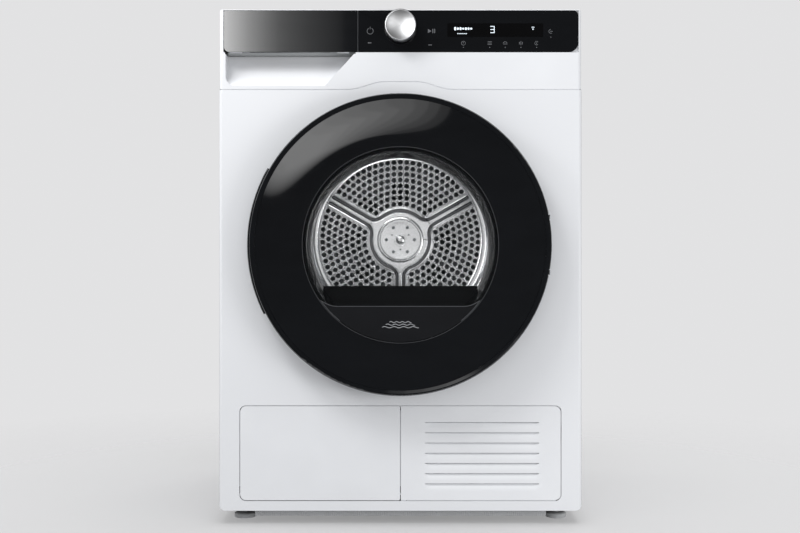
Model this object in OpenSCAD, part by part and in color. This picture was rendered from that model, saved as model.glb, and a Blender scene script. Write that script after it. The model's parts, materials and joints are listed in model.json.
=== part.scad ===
// Free-standing heat-pump tumble dryer.
// +Z is up, the front faces -Y, and +X is to the right of someone who stands in front of it.
// The origin is on the floor, in the middle of the whole footprint with the door closed.

/* [Cabinet] */
// Overall width
body_w = 600; // [560:5:720]
// Overall height from the floor to the worktop
body_h = 850; // [830:5:1020]
// Depth from the front panel to the rear duct cover
body_d = 600; // [560:5:720]
// Thickness of the folded sheet steel
sheet_t = 1; // [0.8:0.1:1.5]
// Radius of the folded front corners
fold_r = 6; // [3:0.5:9]
// Depth of the flange round the front panel
pan_depth = 14; // [12:1:20]
// Height of the front panel's lower edge above the floor
panel_z0 = 22; // [20:1:30]
// Radius of the front panel's lower corners
panel_corner_r = 11; // [5:1:16]
// Thickness of the worktop
worktop_t = 16; // [10:1:20]
// How far the worktop starts behind the front
worktop_setback = 31; // [30:1:40]
// Distance of the rear panel from the rear of the duct cover
duct_bulge = 28; // [20:1:40]

/* [Fascia] */
// Height of the fascia at its ends
fascia_h = 131.5; // [125:0.5:140]
// Depth of the fascia's side flanges
fascia_d = 30; // [28:1:30]
// Wall of the fascia
fascia_t = 2.5; // [2:0.25:3]
// Height of the glossy control strip
strip_h = 69; // [66:1:75]
// Thickness of the glossy control strip
strip_t = 3; // [2:0.5:4]
// Rim of the fascia left above the strip
strip_top = 1.2; // [1:0.1:2]
// White margin at both ends of the strip
strip_margin = 7; // [5:0.5:10]
// Gap along the seams between outer panels
seam_gap = 1.2; // [0.8:0.1:2]
// Height of the arch in the seam under the fascia
arch_h = 13; // [0:1:16]
// Width of the flat top of the arch
arch_flat_w = 50; // [30:1:80]
// Width of each of the arch's two slopes
arch_slope_w = 63; // [40:1:90]

/* [Selector knob] */
// Radius of the knob
knob_r = 26; // [20:0.5:30]
// How far the knob stands out
knob_proud = 22; // [15:1:28]
// Distance of the knob's centre below the top
knob_drop = 29; // [28:1:40]
// Radius of the knob's shaft
knob_shaft_r = 3; // [2:0.5:4]

/* [Water tank] */
// Width of the tank's front
tank_front_w = 221; // [180:1:230]
// Height of the tank bottle
tank_h = 52; // [45:1:54]
// Length of the tank bottle
tank_l = 470; // [380:5:480]
// Wall of the tank bottle
tank_wall = 2; // [1.5:0.5:3]
// Radius of the tank's filling port
port_r = 14; // [8:1:18]
// Depth of the finger scoop
scoop_depth = 26; // [20:1:27]
// Height of the finger scoop
scoop_h = 56; // [40:1:58]

/* [Door] */
// Height of the door's centre above the floor
door_z = 461; // [450:1:470]
// Outer radius of the door
door_r = 246; // [205:1:250]
// How far the door stands out
door_proud = 45; // [40:1:50]
// Width of the rim round the dish
rim_w = 10; // [8:1:14]
// Radius of the window glass
window_r = 160; // [134:1:160]
// Depth of the window below the door's crest
dish_depth = 33; // [26:1:34]
// Thickness of the window glass
glass_t = 4; // [3:0.5:5]
// Radius of the glass bowl at its inner end
bowl_end_r = 150; // [120:1:152]
// How far the glass bowl reaches behind the front panel
bowl_reach = 58; // [40:1:60]
// How far the grip stands out at the side of the rim
grip_proud = 3.7; // [2:0.1:5]
// Half length of the finger recess behind the grip
grip_half_l = 45; // [30:1:50]
// Distance of the hinge axis inside the door's edge
hinge_inset = 9; // [8:0.5:10]
// Distance of the hinge axis in front of the front panel
hinge_out = 24; // [24:0.5:26]
// Radius of the hinge pin
hinge_pin_r = 3; // [2.5:0.5:4]

/* [Drum] */
// Outer radius of the drum
drum_r = 287; // [238:1:287]
// Height of the drum's axis above the door's centre
drum_rise = 20; // [10:1:22]
// Sheet thickness of the drum
drum_t = 1.5; // [1:0.5:2]
// Radius of the drum's axle
axle_r = 12; // [8:1:16]
// Radius of the bulkhead's collar inside the drum mouth
collar_inset = 36; // [30:1:40]
// Radius of the mouth that laundry goes through
mouth_r = 175; // [170:1:178]
// Height of each lifter inside the drum
lifter_h = 55; // [30:1:60]
// Radius of the hub disc of the drum back
hub_r = 40; // [30:1:50]
// Radius of the drum back's perforated field
field_r = 164; // [150:1:180]

/* [Drive] */
// Radius of the motor's belt pulley
pulley_r = 7; // [6:0.5:10]
// Thickness of the belt
belt_t = 3; // [2:0.5:4]
// Width of the belt
belt_w = 12; // [8:1:16]
// Radius of the belt tensioner's pulley
idler_r = 22; // [15:1:28]
// Radius of the front support rollers
roller_r = 25; // [18:1:30]
// Radius of the pins that carry rollers and pulleys
pin_r = 4; // [3:0.5:5]
// Radius of the motor's body
motor_r = 50; // [40:1:55]
// Radius of the motor's shaft
shaft_r = 6; // [5:0.5:7]
// Radius of the process fan
process_fan_r = 62; // [50:1:66]
// Radius of the cooling fan
cooling_fan_r = 58; // [45:1:62]

/* [Service panel] */
// Half width of the service panel
service_half_w = 266; // [230:1:268]
// Height of the service panel's lower edge above the floor
service_z0 = 38; // [36:1:45]
// Height of the service panel
service_h = 158; // [140:1:160]
// Corner radius of the service panel
service_r = 11; // [6:1:16]
// Thickness of the flap and of the grille
flap_t = 2.5; // [2:0.5:3]
// Number of louvre slots
slot_count = 7; // [4:1:8]
// Distance from slot to slot
slot_pitch = 16.85; // [14:0.05:18]
// Width of the slotted field
slot_w = 188; // [120:1:200]
// Height of each slot
slot_h = 4; // [2.5:0.5:6]

/* [Feet] */
// Radius of a foot's pad
foot_r = 18; // [14:1:20]
// Height of a foot's pad
foot_h = 9; // [6:1:10]
// Radius of a foot's threaded stud
stud_r = 5; // [4:0.5:6]
// Distance of the feet from the sides
foot_inset = 36; // [34:1:50]

/* [Fits] */
// Radial clearance of a shaft or pin in its bore
run_gap = 0.05; // [0.02:0.01:0.1]
// Gap between curved faces that roll or rub past each other
skim_gap = 0.35; // [0.3:0.05:0.6]
// Gap between parts that slide or lift out
slide_gap = 1; // [0.5:0.1:2]

/* [Hidden] */
$fn = 96;
front_y = (door_proud - body_d) / 2;
rear_y = front_y + body_d;
rear_panel_y = rear_y - duct_bulge;
half_w = body_w / 2;
seam_z = body_h - fascia_h;
strip_z1 = body_h - strip_top;
strip_z0 = strip_z1 - strip_h;
strip_x0 = -half_w + strip_margin + 1;
strip_x1 = half_w - strip_margin + 1;
tank_x1 = strip_x0 + tank_front_w;
knob_z = body_h - knob_drop;
worktop_z = body_h - worktop_t;
arch_x = arch_flat_w / 2 + arch_slope_w;
// Door
hinge_x = door_r - hinge_inset;
hinge_y = front_y - hinge_out;
crest_y = front_y - door_proud;
window_y = crest_y + dish_depth;
door_back_y = front_y - 3;
dish_r = door_r - rim_w;
door_shell_t = 3;
// Mouth, filter and bulkhead, measured from the front panel
bowl_end_y = front_y + bowl_reach + glass_t;
housing_y0 = front_y + 66;
housing_y1 = front_y + 97;
housing_top_z = door_z - 69;
housing_z0 = 200;
housing_half_w = 158;
housing_wall = 3;
filter_half_w = 112;
filter_lift = 180;
bulkhead_y = front_y + 98;
bulkhead_t = 3;
// Drum
drum_z = door_z + drum_rise;
collar_r = drum_r - collar_inset;
drum_y0 = front_y + 107;
drum_y1 = rear_panel_y - 55;
belt_y = front_y + 165;
// Drive train under the drum
motor_x = 185;
motor_z = drum_z - drum_r - 89;
belt_in = drum_r + skim_gap;
pulley_in = pulley_r + skim_gap;
motor_y0 = front_y + 190;
motor_y1 = front_y + 300;
roller_angle = 30;
roller_x = (drum_r + roller_r + skim_gap) * sin(roller_angle);
roller_z = drum_z - (drum_r + roller_r + skim_gap) * cos(roller_angle);
roller_y0 = drum_y0 + 4;
roller_w = 18;
// Base
tray_z0 = 20;
tray_floor_t = 3;
tray_y0 = front_y + 18;
tray_y1 = rear_panel_y - 2;
foot_x = half_w - foot_inset;
foot_front_y = front_y + 62;
foot_rear_y = rear_panel_y - 60;
flap_x0 = -service_half_w + seam_gap;
flap_x1 = -seam_gap / 2;
flap_z0 = service_z0 + seam_gap;
flap_z1 = service_z0 + service_h - seam_gap;
flap_axis_y = front_y + 4;
flap_axis_z = service_z0 + service_r;
cover_y = front_y + 34;
lock_z = service_z0 + service_h - 30;
fan_x = 135;
fan_z = 118;
fan_y = front_y + 44;

// ---- Helpers ----

// A 2D outline in X and Z, made into a plate that starts at y0 and is t thick
module slab(y0, t) translate([0, y0 + t, 0]) rotate([90, 0, 0]) linear_extrude(t) children();

// A profile of [radius, y] points turned about an axis along Y at x0, z0
module turned(x0, z0) translate([x0, 0, z0]) rotate([-90, 0, 0]) rotate_extrude() children();

// A round bar along Y
module rod_y(x0, z0, y0, y1, r) translate([x0, y0, z0]) rotate([-90, 0, 0]) cylinder(h = y1 - y0, r = r);

// A round bar along X
module rod_x(y0, z0, x0, x1, r) translate([x0, y0, z0]) rotate([0, 90, 0]) cylinder(h = x1 - x0, r = r);

// A round bar along Z
module rod_z(x0, y0, z0, z1, r) translate([x0, y0, z0]) cylinder(h = z1 - z0, r = r);

// A box between two corners
module block(x0, x1, y0, y1, z0, z1) translate([x0, y0, z0]) cube([x1 - x0, y1 - y0, z1 - z0]);

// What a round corner leaves of a square one; sx and sz point into the plate
module corner_cut(x, z, sx, sz, r) translate([x, z]) difference() {
  translate([sx > 0 ? -1 : -r, sz > 0 ? -1 : -r]) square(r + 1);
  translate([sx * r, sz * r]) circle(r);
}

// A rectangle with radii bl, br, tr and tl at its corners
module round_rect(x0, x1, z0, z1, bl, br, tr, tl) difference() {
  translate([x0, z0]) square([x1 - x0, z1 - z0]);
  corner_cut(x0, z0, 1, 1, bl);
  corner_cut(x1, z0, -1, 1, br);
  corner_cut(x1, z1, -1, -1, tr);
  corner_cut(x0, z1, 1, -1, tl);
}

// Plan of a sheet pan that is open at the back: width w, folded corners of radius r
module pan_plan(w, r, depth, t) difference() {
  union() {
    translate([-w / 2, front_y + r]) square([w, depth - r]);
    translate([-w / 2 + r, front_y]) square([w - 2 * r, depth]);
    for (s = [-1, 1]) translate([s * (w / 2 - r), front_y + r]) circle(r);
  }
  translate([-w / 2 + t, front_y + r]) square([w - 2 * t, depth]);
  translate([-w / 2 + r, front_y + t]) square([w - 2 * r, depth]);
  for (s = [-1, 1]) translate([s * (w / 2 - r), front_y + r]) circle(r - t);
}

// Height of the seam under the fascia at x: flat, then an arch with soft slopes
function ramp(u) = u <= 0 ? 0 : u >= 1 ? 1 : (1 - cos(180 * u)) / 2;
function seam_at(x) = seam_z + arch_h * ramp((arch_x - abs(x)) / arch_slope_w);
arch_steps = 12;
arch_points = [
  for (i = [0 : arch_steps]) -arch_x + arch_slope_w * i / arch_steps,
  for (i = [0 : arch_steps]) arch_x - arch_slope_w * (arch_steps - i) / arch_steps
];

// ---- Cabinet ----

module side_panel(s) color("white") {
  y0 = front_y + pan_depth + 0.5;
  difference() {
    union() {
      block(s > 0 ? half_w - sheet_t : -half_w, s > 0 ? half_w : -half_w + sheet_t,
        y0, rear_panel_y, panel_z0, worktop_z);
      for (y = [y0, rear_panel_y - sheet_t])
        block(s > 0 ? half_w - 14 : -half_w, s > 0 ? half_w : -half_w + 14,
          y, y + sheet_t, panel_z0 + 42, worktop_z);
    }
    // clearance for the fascia's side flange
    block(s > 0 ? half_w - 20 : -half_w - 1, s > 0 ? half_w + 1 : -half_w + 20,
      y0 - 1, front_y + fascia_d + 0.5, seam_z - 2, body_h);
  }
}
module side_panel_left() side_panel(-1);
module side_panel_right() side_panel(1);

// Steel rear panel with the hole ring that lets warm air through to the drum
module rear_panel() color("gainsboro") difference() {
  block(-half_w, half_w, rear_panel_y, rear_panel_y + sheet_t, panel_z0, worktop_z);
  for (a = [0 : 45 : 315])
    rod_y(100 * cos(a), drum_z + 100 * sin(a), rear_panel_y - 1, rear_panel_y + 2, 24);
  rod_y(0, drum_z, rear_panel_y - 1, rear_panel_y + 2, axle_r + 3);
  rod_y(spigot_x, spigot_z, rear_panel_y - 1, rear_panel_y + 2, spigot_r + 1);
}

module worktop() color("white") union() {
  translate([0, 0, worktop_z]) linear_extrude(worktop_t - 2)
    round_rect(-half_w, half_w, front_y + worktop_setback, rear_y, 2, 2, 8, 8);
  translate([0, 0, body_h - 2]) linear_extrude(2)
    round_rect(-half_w + 1, half_w - 1, front_y + worktop_setback, rear_y - 1, 2, 2, 7, 7);
}

module front_outline(top_gap) intersection() {
  round_rect(-half_w, half_w, panel_z0, body_h, panel_corner_r, panel_corner_r, 1, 1);
  polygon(concat([[half_w, seam_z - top_gap], [half_w, 0], [-half_w, 0], [-half_w, seam_z - top_gap]],
    [for (x = arch_points) [x, seam_at(x) - top_gap]]));
}

module front_panel() color("white") difference() {
  intersection() {
    linear_extrude(body_h) pan_plan(body_w, fold_r, pan_depth, sheet_t);
    slab(front_y, pan_depth) front_outline(seam_gap);
  }
  rod_y(0, door_z, front_y - 1, front_y + 2, mouth_r + 4);
  slab(front_y - 1, 3) round_rect(-service_half_w, service_half_w, service_z0,
    service_z0 + service_h, service_r, service_r, service_r, service_r);
  block(-hook_x - 9, -hook_x + 9, front_y - 1, front_y + 2, door_z - 15, door_z + 15);
}

// The finger scoop under the tank: its front edge, grown by a wall
module scoop_outline(grow) {
  x0 = strip_x0 + 3 - grow;
  x1 = tank_x1 - 2 + grow;
  z0 = strip_z0 - scoop_h - grow;
  difference() {
    polygon([[x0, z0], [x1 - 52, z0], [x1, strip_z0 + 1], [x0, strip_z0 + 1]]);
    corner_cut(x0, z0, 1, 1, 16 + grow);
  }
}
scoop_c = (scoop_h * scoop_h / scoop_depth - scoop_depth) / 2;
module scoop_body(grow) intersection() {
  slab(front_y - 1, scoop_depth + grow + 1) scoop_outline(grow);
  rod_x(front_y - scoop_c, strip_z0, -half_w, half_w, scoop_c + scoop_depth + grow);
}

module fascia() color("white") difference() {
  union() {
    intersection() {
      linear_extrude(body_h) pan_plan(body_w - 2, fold_r, fascia_d, fascia_t);
      slab(front_y, fascia_d) difference() {
        round_rect(-half_w + 1, half_w - 1, seam_z - 1, body_h, 1, 1, 4, 4);
        polygon(concat([[half_w, seam_z], [half_w, 0], [-half_w, 0], [-half_w, seam_z]],
          [for (x = arch_points) [x, seam_at(x)]]));
      }
    }
    difference() {
      block(-half_w + 5, half_w - 5, front_y + 0.5, front_y + fascia_d, strip_z1, body_h - 0.1);
      block(-half_w + 5, half_w - 5, front_y - 1, front_y + 60, strip_z1 - 20, strip_z1);
    }
    block(tank_x1 + 1, half_w - 2, front_y + strip_t + 0.2, front_y + strip_t + 2.2, seam_z + 20, strip_z1 + 0.5);
    intersection() {
      scoop_body(fascia_t);
      block(-half_w, half_w, front_y, front_y + 60, seam_z, strip_z0 - 2.5);
    }
  }
  block(strip_x0 - 0.5, strip_x1 + 0.5, front_y - 1, front_y + strip_t + 0.2, strip_z0 - 0.5, strip_z1);
  block(strip_x0 - 0.5, tank_x1 + 1, front_y - 1, front_y + 60, strip_z0 - 0.5, strip_z1);
  block(bottle_x0 - slide_gap, bottle_x1 + slide_gap, front_y - 1, front_y + 60, bottle_z0 - slide_gap, strip_z0);
  scoop_body(0);
  rod_y(0, knob_z, front_y, front_y + 20, 9);
}

module control_strip() color("#101114") difference() {
  slab(front_y, strip_t) round_rect(tank_x1 + seam_gap, strip_x1, strip_z0, strip_z1, 1, 16, 8, 1);
  rod_y(0, knob_z, front_y - 1, front_y + strip_t + 1, 8);
}

// Circuit board with the rotary encoder that the knob turns
module control_board() color("darkgreen") union() {
  difference() {
    union() {
      block(-60, half_w - 30, front_y + 11, front_y + 12.6, strip_z0 + 6, strip_z1 - 8);
      block(-12, 12, front_y + 12.6, front_y + 22, knob_z - 12, knob_z + 12);
    }
    rod_y(0, knob_z, front_y + 10, front_y + 23, knob_shaft_r + run_gap);
  }
}

module knob() color("silver") union() {
  turned(0, knob_z) polygon([
    [0, front_y - knob_proud + 1.2], [knob_r - 3, front_y - knob_proud], [knob_r - 1.2, front_y - knob_proud + 0.4],
    [knob_r - 0.4, front_y - knob_proud + 1.6], [knob_r, front_y - 1.2], [knob_shaft_r, front_y - 1.2],
    [knob_shaft_r, front_y + 21], [0, front_y + 21]
  ]);
}

// ---- Water tank ----
bottle_y0 = front_y + scoop_depth + 3;
bottle_z0 = strip_z0 - 2;
bottle_x0 = strip_x0 + 3;
bottle_x1 = tank_x1 - 4;
port_x = bottle_x0 + 50;
port_y = bottle_y0 + tank_l - 40;

module tank_bay() color("gainsboro") difference() {
  block(bottle_x0 - slide_gap - 2, bottle_x1 + slide_gap + 2, front_y + worktop_setback + 1,
    bottle_y0 + tank_l + 4, bottle_z0 - slide_gap - 2, worktop_z - 0.5);
  block(bottle_x0 - slide_gap, bottle_x1 + slide_gap, front_y,
    bottle_y0 + tank_l + 2, bottle_z0 - slide_gap, worktop_z + 1);
}

module tank_bottle() color("white") difference() {
  block(bottle_x0, bottle_x1, bottle_y0, bottle_y0 + tank_l, bottle_z0, bottle_z0 + tank_h);
  block(bottle_x0 + tank_wall, bottle_x1 - tank_wall, bottle_y0 + tank_wall,
    bottle_y0 + tank_l - tank_wall, bottle_z0 + tank_wall, bottle_z0 + tank_h - tank_wall);
  rod_z(port_x, port_y, bottle_z0 + tank_h - tank_wall - 1, bottle_z0 + tank_h + 1, port_r);
}

module tank_front() color("#101114") union() {
  slab(front_y, 3) round_rect(strip_x0, tank_x1, strip_z0, strip_z1 - 0.3, 9, 1, 1, 2);
  intersection() {
    slab(front_y + 2, bottle_y0 - front_y - 2) round_rect(strip_x0, tank_x1, strip_z0, strip_z1 - 0.3, 9, 1, 1, 2);
    union() {
      block(strip_x0, strip_x0 + 2.5, front_y, bottle_y0, strip_z0, strip_z1);
      block(tank_x1 - 2.5, tank_x1, front_y, bottle_y0, strip_z0, strip_z1);
      block(strip_x0, tank_x1, front_y, bottle_y0, strip_z1 - 3, strip_z1);
      block(strip_x0, tank_x1, front_y, bottle_y0, strip_z0 + 26, strip_z0 + 28.5);
      block(strip_x0 + 42, tank_x1 - 46, front_y, front_y + 7, strip_z0, strip_z0 + 4);
    }
  }
}

// ---- Drum mouth ----

module front_bulkhead() color("whitesmoke") {
  difference() {
    union() {
      block(-half_w + 3, half_w - 3, bulkhead_y, bulkhead_y + bulkhead_t, housing_z0 - 50, drum_z + drum_r - 2);
      turned(0, door_z) polygon([[mouth_r, front_y + 2], [mouth_r + 3, front_y + 2],
        [mouth_r + 3, bulkhead_y + 0.5], [mouth_r, bulkhead_y + 0.5]]);
    }
    rod_y(0, door_z, bulkhead_y - 1, bulkhead_y + 5, mouth_r);
    block(-housing_half_w - 1, housing_half_w + 1, housing_y0 - 1, bulkhead_y, housing_z0 - 80, housing_top_z + 1);
    block(-70, 70, bulkhead_y - 1, bulkhead_y + 9, housing_z0 - 80, housing_z0 + 3);
  }
  turned(0, drum_z) polygon([[collar_r - 3, bulkhead_y + bulkhead_t], [collar_r, bulkhead_y + bulkhead_t],
    [collar_r, bulkhead_y + 24], [collar_r - 3, bulkhead_y + 24]]);
  for (s = [-1, 1]) rod_y(s * roller_x, roller_z, bulkhead_y + bulkhead_t, roller_y0 + roller_w + 5, pin_r);
}

module filter_housing() color("#26282b") difference() {
  union() {
    intersection() {
      block(-housing_half_w, housing_half_w, housing_y0, housing_y1, housing_z0, housing_top_z);
      slab(housing_y0, 40) round_rect(-housing_half_w, housing_half_w, housing_z0, housing_top_z, 60, 60, 4, 4);
    }
  }
  block(-filter_half_w - slide_gap, filter_half_w + slide_gap, housing_y0 + housing_wall,
    housing_y1 - housing_wall, housing_z0 + housing_wall, housing_top_z + 1);
}

module lint_filter() color("#3a3d42") {
  y0 = housing_y0 + housing_wall + slide_gap;
  y1 = housing_y1 - housing_wall - slide_gap;
  z0 = housing_z0 + housing_wall + slide_gap;
  z1 = housing_top_z;
  difference() {
    block(-filter_half_w, filter_half_w, y0, y1, z0, z1);
    block(-filter_half_w + 3, filter_half_w - 3, y0 + 3, y1 - 3, z0 + 3, z1 + 1);
    for (i = [-1, 0, 1])
      block(i * 70 - 32, i * 70 + 32, y0 - 1, y0 + 2, z0 + 15, z1 - 45);
  }
}

module mouth_seal() color("#2a2a2c") turned(0, door_z) polygon([[mouth_r, front_y + 1.5], [mouth_r, front_y - 1.5],
  [mouth_r + 2, front_y - 2.5], [mouth_r + 9, front_y - 2.5], [mouth_r + 10, front_y - 1.5], [mouth_r + 10, front_y],
  [mouth_r + 3.5, front_y], [mouth_r + 3.5, front_y + 1.5]]);

// ---- Door ----
hook_x = mouth_r + 28;

module door_rim() color("#0d0e10") difference() {
  union() {
    turned(0, door_z) rim_profile();
    // grip: the same profile a little larger, over the arc where a hand pulls
    translate([0, 0, door_z]) rotate([-90, 0, 0]) rotate([0, 0, 153]) rotate_extrude(angle = 57)
      polygon([[door_r - 3, door_back_y], [door_r + grip_proud, door_back_y], [door_r + grip_proud, crest_y + 14],
        [door_r + grip_proud - 2, crest_y + 9], [door_r - 3, crest_y + 6]]);
  }
  block(-door_r - grip_proud - 1, -dish_r, front_y - 24, front_y, door_z - grip_half_l, door_z + grip_half_l);
  for (s = [-1, 1]) lug_pocket(s);
  knuckle_pocket();
}
module rim_profile() difference() {
  union() {
    translate([dish_r, crest_y]) square([rim_w - 5, 6]);
    translate([door_r - 4, crest_y + 10]) square([4, door_back_y - crest_y - 10]);
    intersection() {
      translate([door_r - 10, crest_y + 10]) circle(10);
      translate([door_r - 10, crest_y - 1]) square([12, 11]);
    }
  }
  translate([dish_r - 1, crest_y + 3]) square([rim_w - 6, 20]);
  intersection() {
    translate([door_r - 10, crest_y + 10]) circle(7);
    translate([door_r - 11, crest_y]) square([9, 11]);
  }
}

// The concave glossy ring between rim and window
dish_steps = 10;
function dish_y(u) = crest_y + 1 + (window_y - crest_y - 1) * sin(90 * u);
function dish_x(u) = dish_r + (window_r + 2 - dish_r) * u;
module door_dish() color("#08090b") turned(0, door_z) polygon(concat(
  [for (i = [0 : dish_steps]) [dish_x(i / dish_steps), dish_y(i / dish_steps)]],
  [[window_r + 2, window_y + glass_t], [window_r - 6, window_y + glass_t], [window_r - 6, window_y + glass_t + 2],
   [window_r + 4, window_y + glass_t + 2]],
  [for (i = [dish_steps - 1 : -1 : 0]) [dish_x(i / dish_steps), dish_y(i / dish_steps) + 3]]));

module door_window() color("#555a60", 0.4) rod_y(0, door_z, window_y, window_y + glass_t - 0.2, window_r + 1);

// Glass bowl that fills the drum's mouth behind the window
module door_bowl() color("#667077", 0.4) turned(0, door_z) polygon([
  [window_r + 3, door_back_y - 1.5], [window_r + 3, door_back_y + 1.5], [window_r, door_back_y + 1.5],
  [bowl_end_r + 4, bowl_end_y - 6], [bowl_end_r, bowl_end_y], [0, bowl_end_y + 2], [0, bowl_end_y - glass_t + 2],
  [bowl_end_r - 4, bowl_end_y - glass_t - 1], [window_r - 4, door_back_y - 1.5]]);

module door_back_ring() color("#1a1b1e") difference() {
  turned(0, door_z) polygon([[window_r + 3.2, door_back_y - 2.8],
    [dish_r + 5.5, door_back_y - 2.8], [dish_r + 5.5, door_back_y],
    [window_r + 3.2, door_back_y]]);
  for (s = [-1, 1]) lug_pocket(s);
  knuckle_pocket();
  hinge_plate_pocket();
}

module door_hook() color("silver") union() {
  block(-hook_x - 2, -hook_x + 2, door_back_y, front_y + 14, door_z - 10, door_z + 10);
  block(-hook_x - 2, -hook_x + 5, front_y + 9, front_y + 14, door_z - 10, door_z + 10);
}

// Hinge: two fixed lugs on the front panel, a pin through them, and a knuckle on the door
lug_z = 45;
lug_h = 8;
knuckle_r = 6.5;
module lug_pocket(s) block(hinge_x - 12, hinge_x + 12, crest_y + door_shell_t + 1, front_y + 1,
  door_z + s * lug_z - lug_h / 2 - 1, door_z + s * lug_z + lug_h / 2 + 1);
module knuckle_pocket() {
  rod_z(hinge_x, hinge_y, door_z - lug_z, door_z + lug_z, knuckle_r + 1);
}
hinge_plate_t = 3;
arm_u = asin((hinge_y - hinge_plate_t / 2 - 0.5 - door_shell_t - crest_y - 1) / (window_y - crest_y - 1)) / 90;
arm_x0 = dish_x(arm_u);
module hinge_plate_pocket() block(arm_x0 - 2, hinge_x + 1, hinge_y - 2, door_back_y + 1, door_z - 34, door_z + 34);

module hinge_bracket() color("silver") difference() {
  union() {
    for (s = [-1, 1]) {
      rod_z(hinge_x, hinge_y, door_z + s * lug_z - lug_h / 2, door_z + s * lug_z + lug_h / 2, 7.5);
      block(hinge_x - 4, hinge_x + 4, hinge_y, front_y, door_z + s * lug_z - lug_h / 2, door_z + s * lug_z + lug_h / 2);
    }
  }
  rod_z(hinge_x, hinge_y, door_z - 80, door_z + 80, hinge_pin_r + 0.02);
}
module hinge_pin() color("silver") rod_z(hinge_x, hinge_y, door_z - lug_z - lug_h / 2 + 0.5,
  door_z + lug_z + lug_h / 2 - 0.5, hinge_pin_r);
module door_hinge_arm() color("silver") difference() {
  union() {
    rod_z(hinge_x, hinge_y, door_z - 36, door_z + 36, knuckle_r);
    block(arm_x0, hinge_x, hinge_y - hinge_plate_t / 2, hinge_y + hinge_plate_t / 2, door_z - 30, door_z + 30);
    block(arm_x0, arm_x0 + hinge_plate_t, hinge_y - hinge_plate_t / 2, door_back_y - 0.5, door_z - 30, door_z + 30);
  }
  rod_z(hinge_x, hinge_y, door_z - 80, door_z + 80, hinge_pin_r + run_gap);
}

module latch_housing() color("#2a2a2c") difference() {
  block(-hook_x - 15, -hook_x + 17, front_y + sheet_t, front_y + 26, door_z - 22, door_z + 22);
  block(-hook_x - 10, -hook_x + 12, front_y, front_y + 21, door_z - 17, door_z + 17);
}

// ---- Drum ----

module drum_shell() color("silver") turned(0, drum_z) polygon([
  [collar_r + 4, drum_y0], [drum_r, drum_y0], [drum_r, drum_y0 + 40], [drum_r - 3, drum_y0 + 44],
  [drum_r - 3, drum_y0 + 50], [drum_r, drum_y0 + 54], [drum_r, drum_y1 - 80], [drum_r - 3, drum_y1 - 76],
  [drum_r - 3, drum_y1 - 70], [drum_r, drum_y1 - 66], [drum_r, drum_y1],
  [drum_r - drum_t, drum_y1], [drum_r - drum_t, drum_y1 - 66 + 0.4], [drum_r - 3 - drum_t, drum_y1 - 70],
  [drum_r - 3 - drum_t, drum_y1 - 76], [drum_r - drum_t, drum_y1 - 80 - 0.4],
  [drum_r - drum_t, drum_y0 + 54.4], [drum_r - 3 - drum_t, drum_y0 + 50.4],
  [drum_r - 3 - drum_t, drum_y0 + 43.6], [drum_r - drum_t, drum_y0 + 39.6],
  [drum_r - drum_t, drum_y0 + drum_t], [collar_r + 4, drum_y0 + drum_t]
]);

// Drum back: a plate with a raised hub and three raised spokes
module drum_back() color("silver") union() {
  rod_y(0, drum_z, drum_y1, drum_y1 + drum_t, drum_r);
  rod_y(0, drum_z, drum_y1 - 6, drum_y1, hub_r);
  turned(0, drum_z) polygon([[field_r + 4, drum_y1], [field_r + 8, drum_y1 - 5], [field_r + 14, drum_y1 - 5],
    [field_r + 18, drum_y1]]);
  for (a = [30, 150, 270])
    translate([0, 0, drum_z]) rotate([0, -a, 0]) block(hub_r - 5, field_r + 6, drum_y1 - 5, drum_y1, -11, 11);
}

module drum_lifters() color("gainsboro") for (a = [90, 210, 330])
  translate([0, 0, drum_z]) rotate([0, -a, 0]) translate([0, drum_y0 + 60, 0]) rotate([-90, 0, 0])
    linear_extrude(drum_y1 - drum_y0 - 145) polygon([
      [drum_r - 8, -34], [drum_r - 8, 34], [drum_r - 20, 26], [drum_r - lifter_h + 6, 9],
      [drum_r - lifter_h, 5], [drum_r - lifter_h, -5], [drum_r - lifter_h + 6, -9], [drum_r - 20, -26]
    ]);

module drum_axle() color("silver") union() {
  rod_y(0, drum_z, drum_y1 + drum_t, drum_y1 + drum_t + 5, 45);
  rod_y(0, drum_z, drum_y1 + drum_t, rear_panel_y - 2, axle_r);
}

module rear_bearing() color("silver") difference() {
  union() {
    rod_y(0, drum_z, rear_panel_y - 34, rear_panel_y, axle_r + 14);
    for (a = [0, 90]) translate([0, 0, drum_z]) rotate([0, a, 0])
      block(-68, 68, rear_panel_y - 12, rear_panel_y, -10, 10);
  }
  rod_y(0, drum_z, rear_panel_y - 40, rear_panel_y + 1, axle_r + run_gap);
}

module rear_duct_cover() color("gainsboro") difference() {
  slab(rear_panel_y + sheet_t, duct_bulge - sheet_t) round_rect(-150, 150, panel_z0 + 30, drum_z + 150, 20, 20, 140, 140);
  slab(rear_panel_y, duct_bulge - sheet_t - 1.5) round_rect(-147, 147, panel_z0 + 33, drum_z + 147, 17, 17, 137, 137);
}

// ---- Drive train ----

// Outer tangent line from the drum to the motor pulley, seen from the front
belt_dir = atan2(motor_z - drum_z, motor_x);
belt_len = norm([motor_x, motor_z - drum_z]);
belt_open = acos((belt_in - pulley_in) / belt_len);
function on_circle(x, z, r, a) = [x + r * cos(a), z + r * sin(a)];
module belt_loop(grow) {
  translate([0, drum_z]) circle(belt_in + grow);
  translate([motor_x, motor_z]) circle(pulley_in + grow);
  polygon([
    on_circle(0, drum_z, belt_in + grow, belt_dir - belt_open),
    on_circle(motor_x, motor_z, pulley_in + grow, belt_dir - belt_open),
    on_circle(motor_x, motor_z, pulley_in + grow, belt_dir + belt_open),
    on_circle(0, drum_z, belt_in + grow, belt_dir + belt_open)
  ]);
}
module drive_belt() color("#222222") slab(belt_y - belt_w / 2, belt_w) difference() {
  belt_loop(belt_t);
  belt_loop(0);
}

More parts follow.
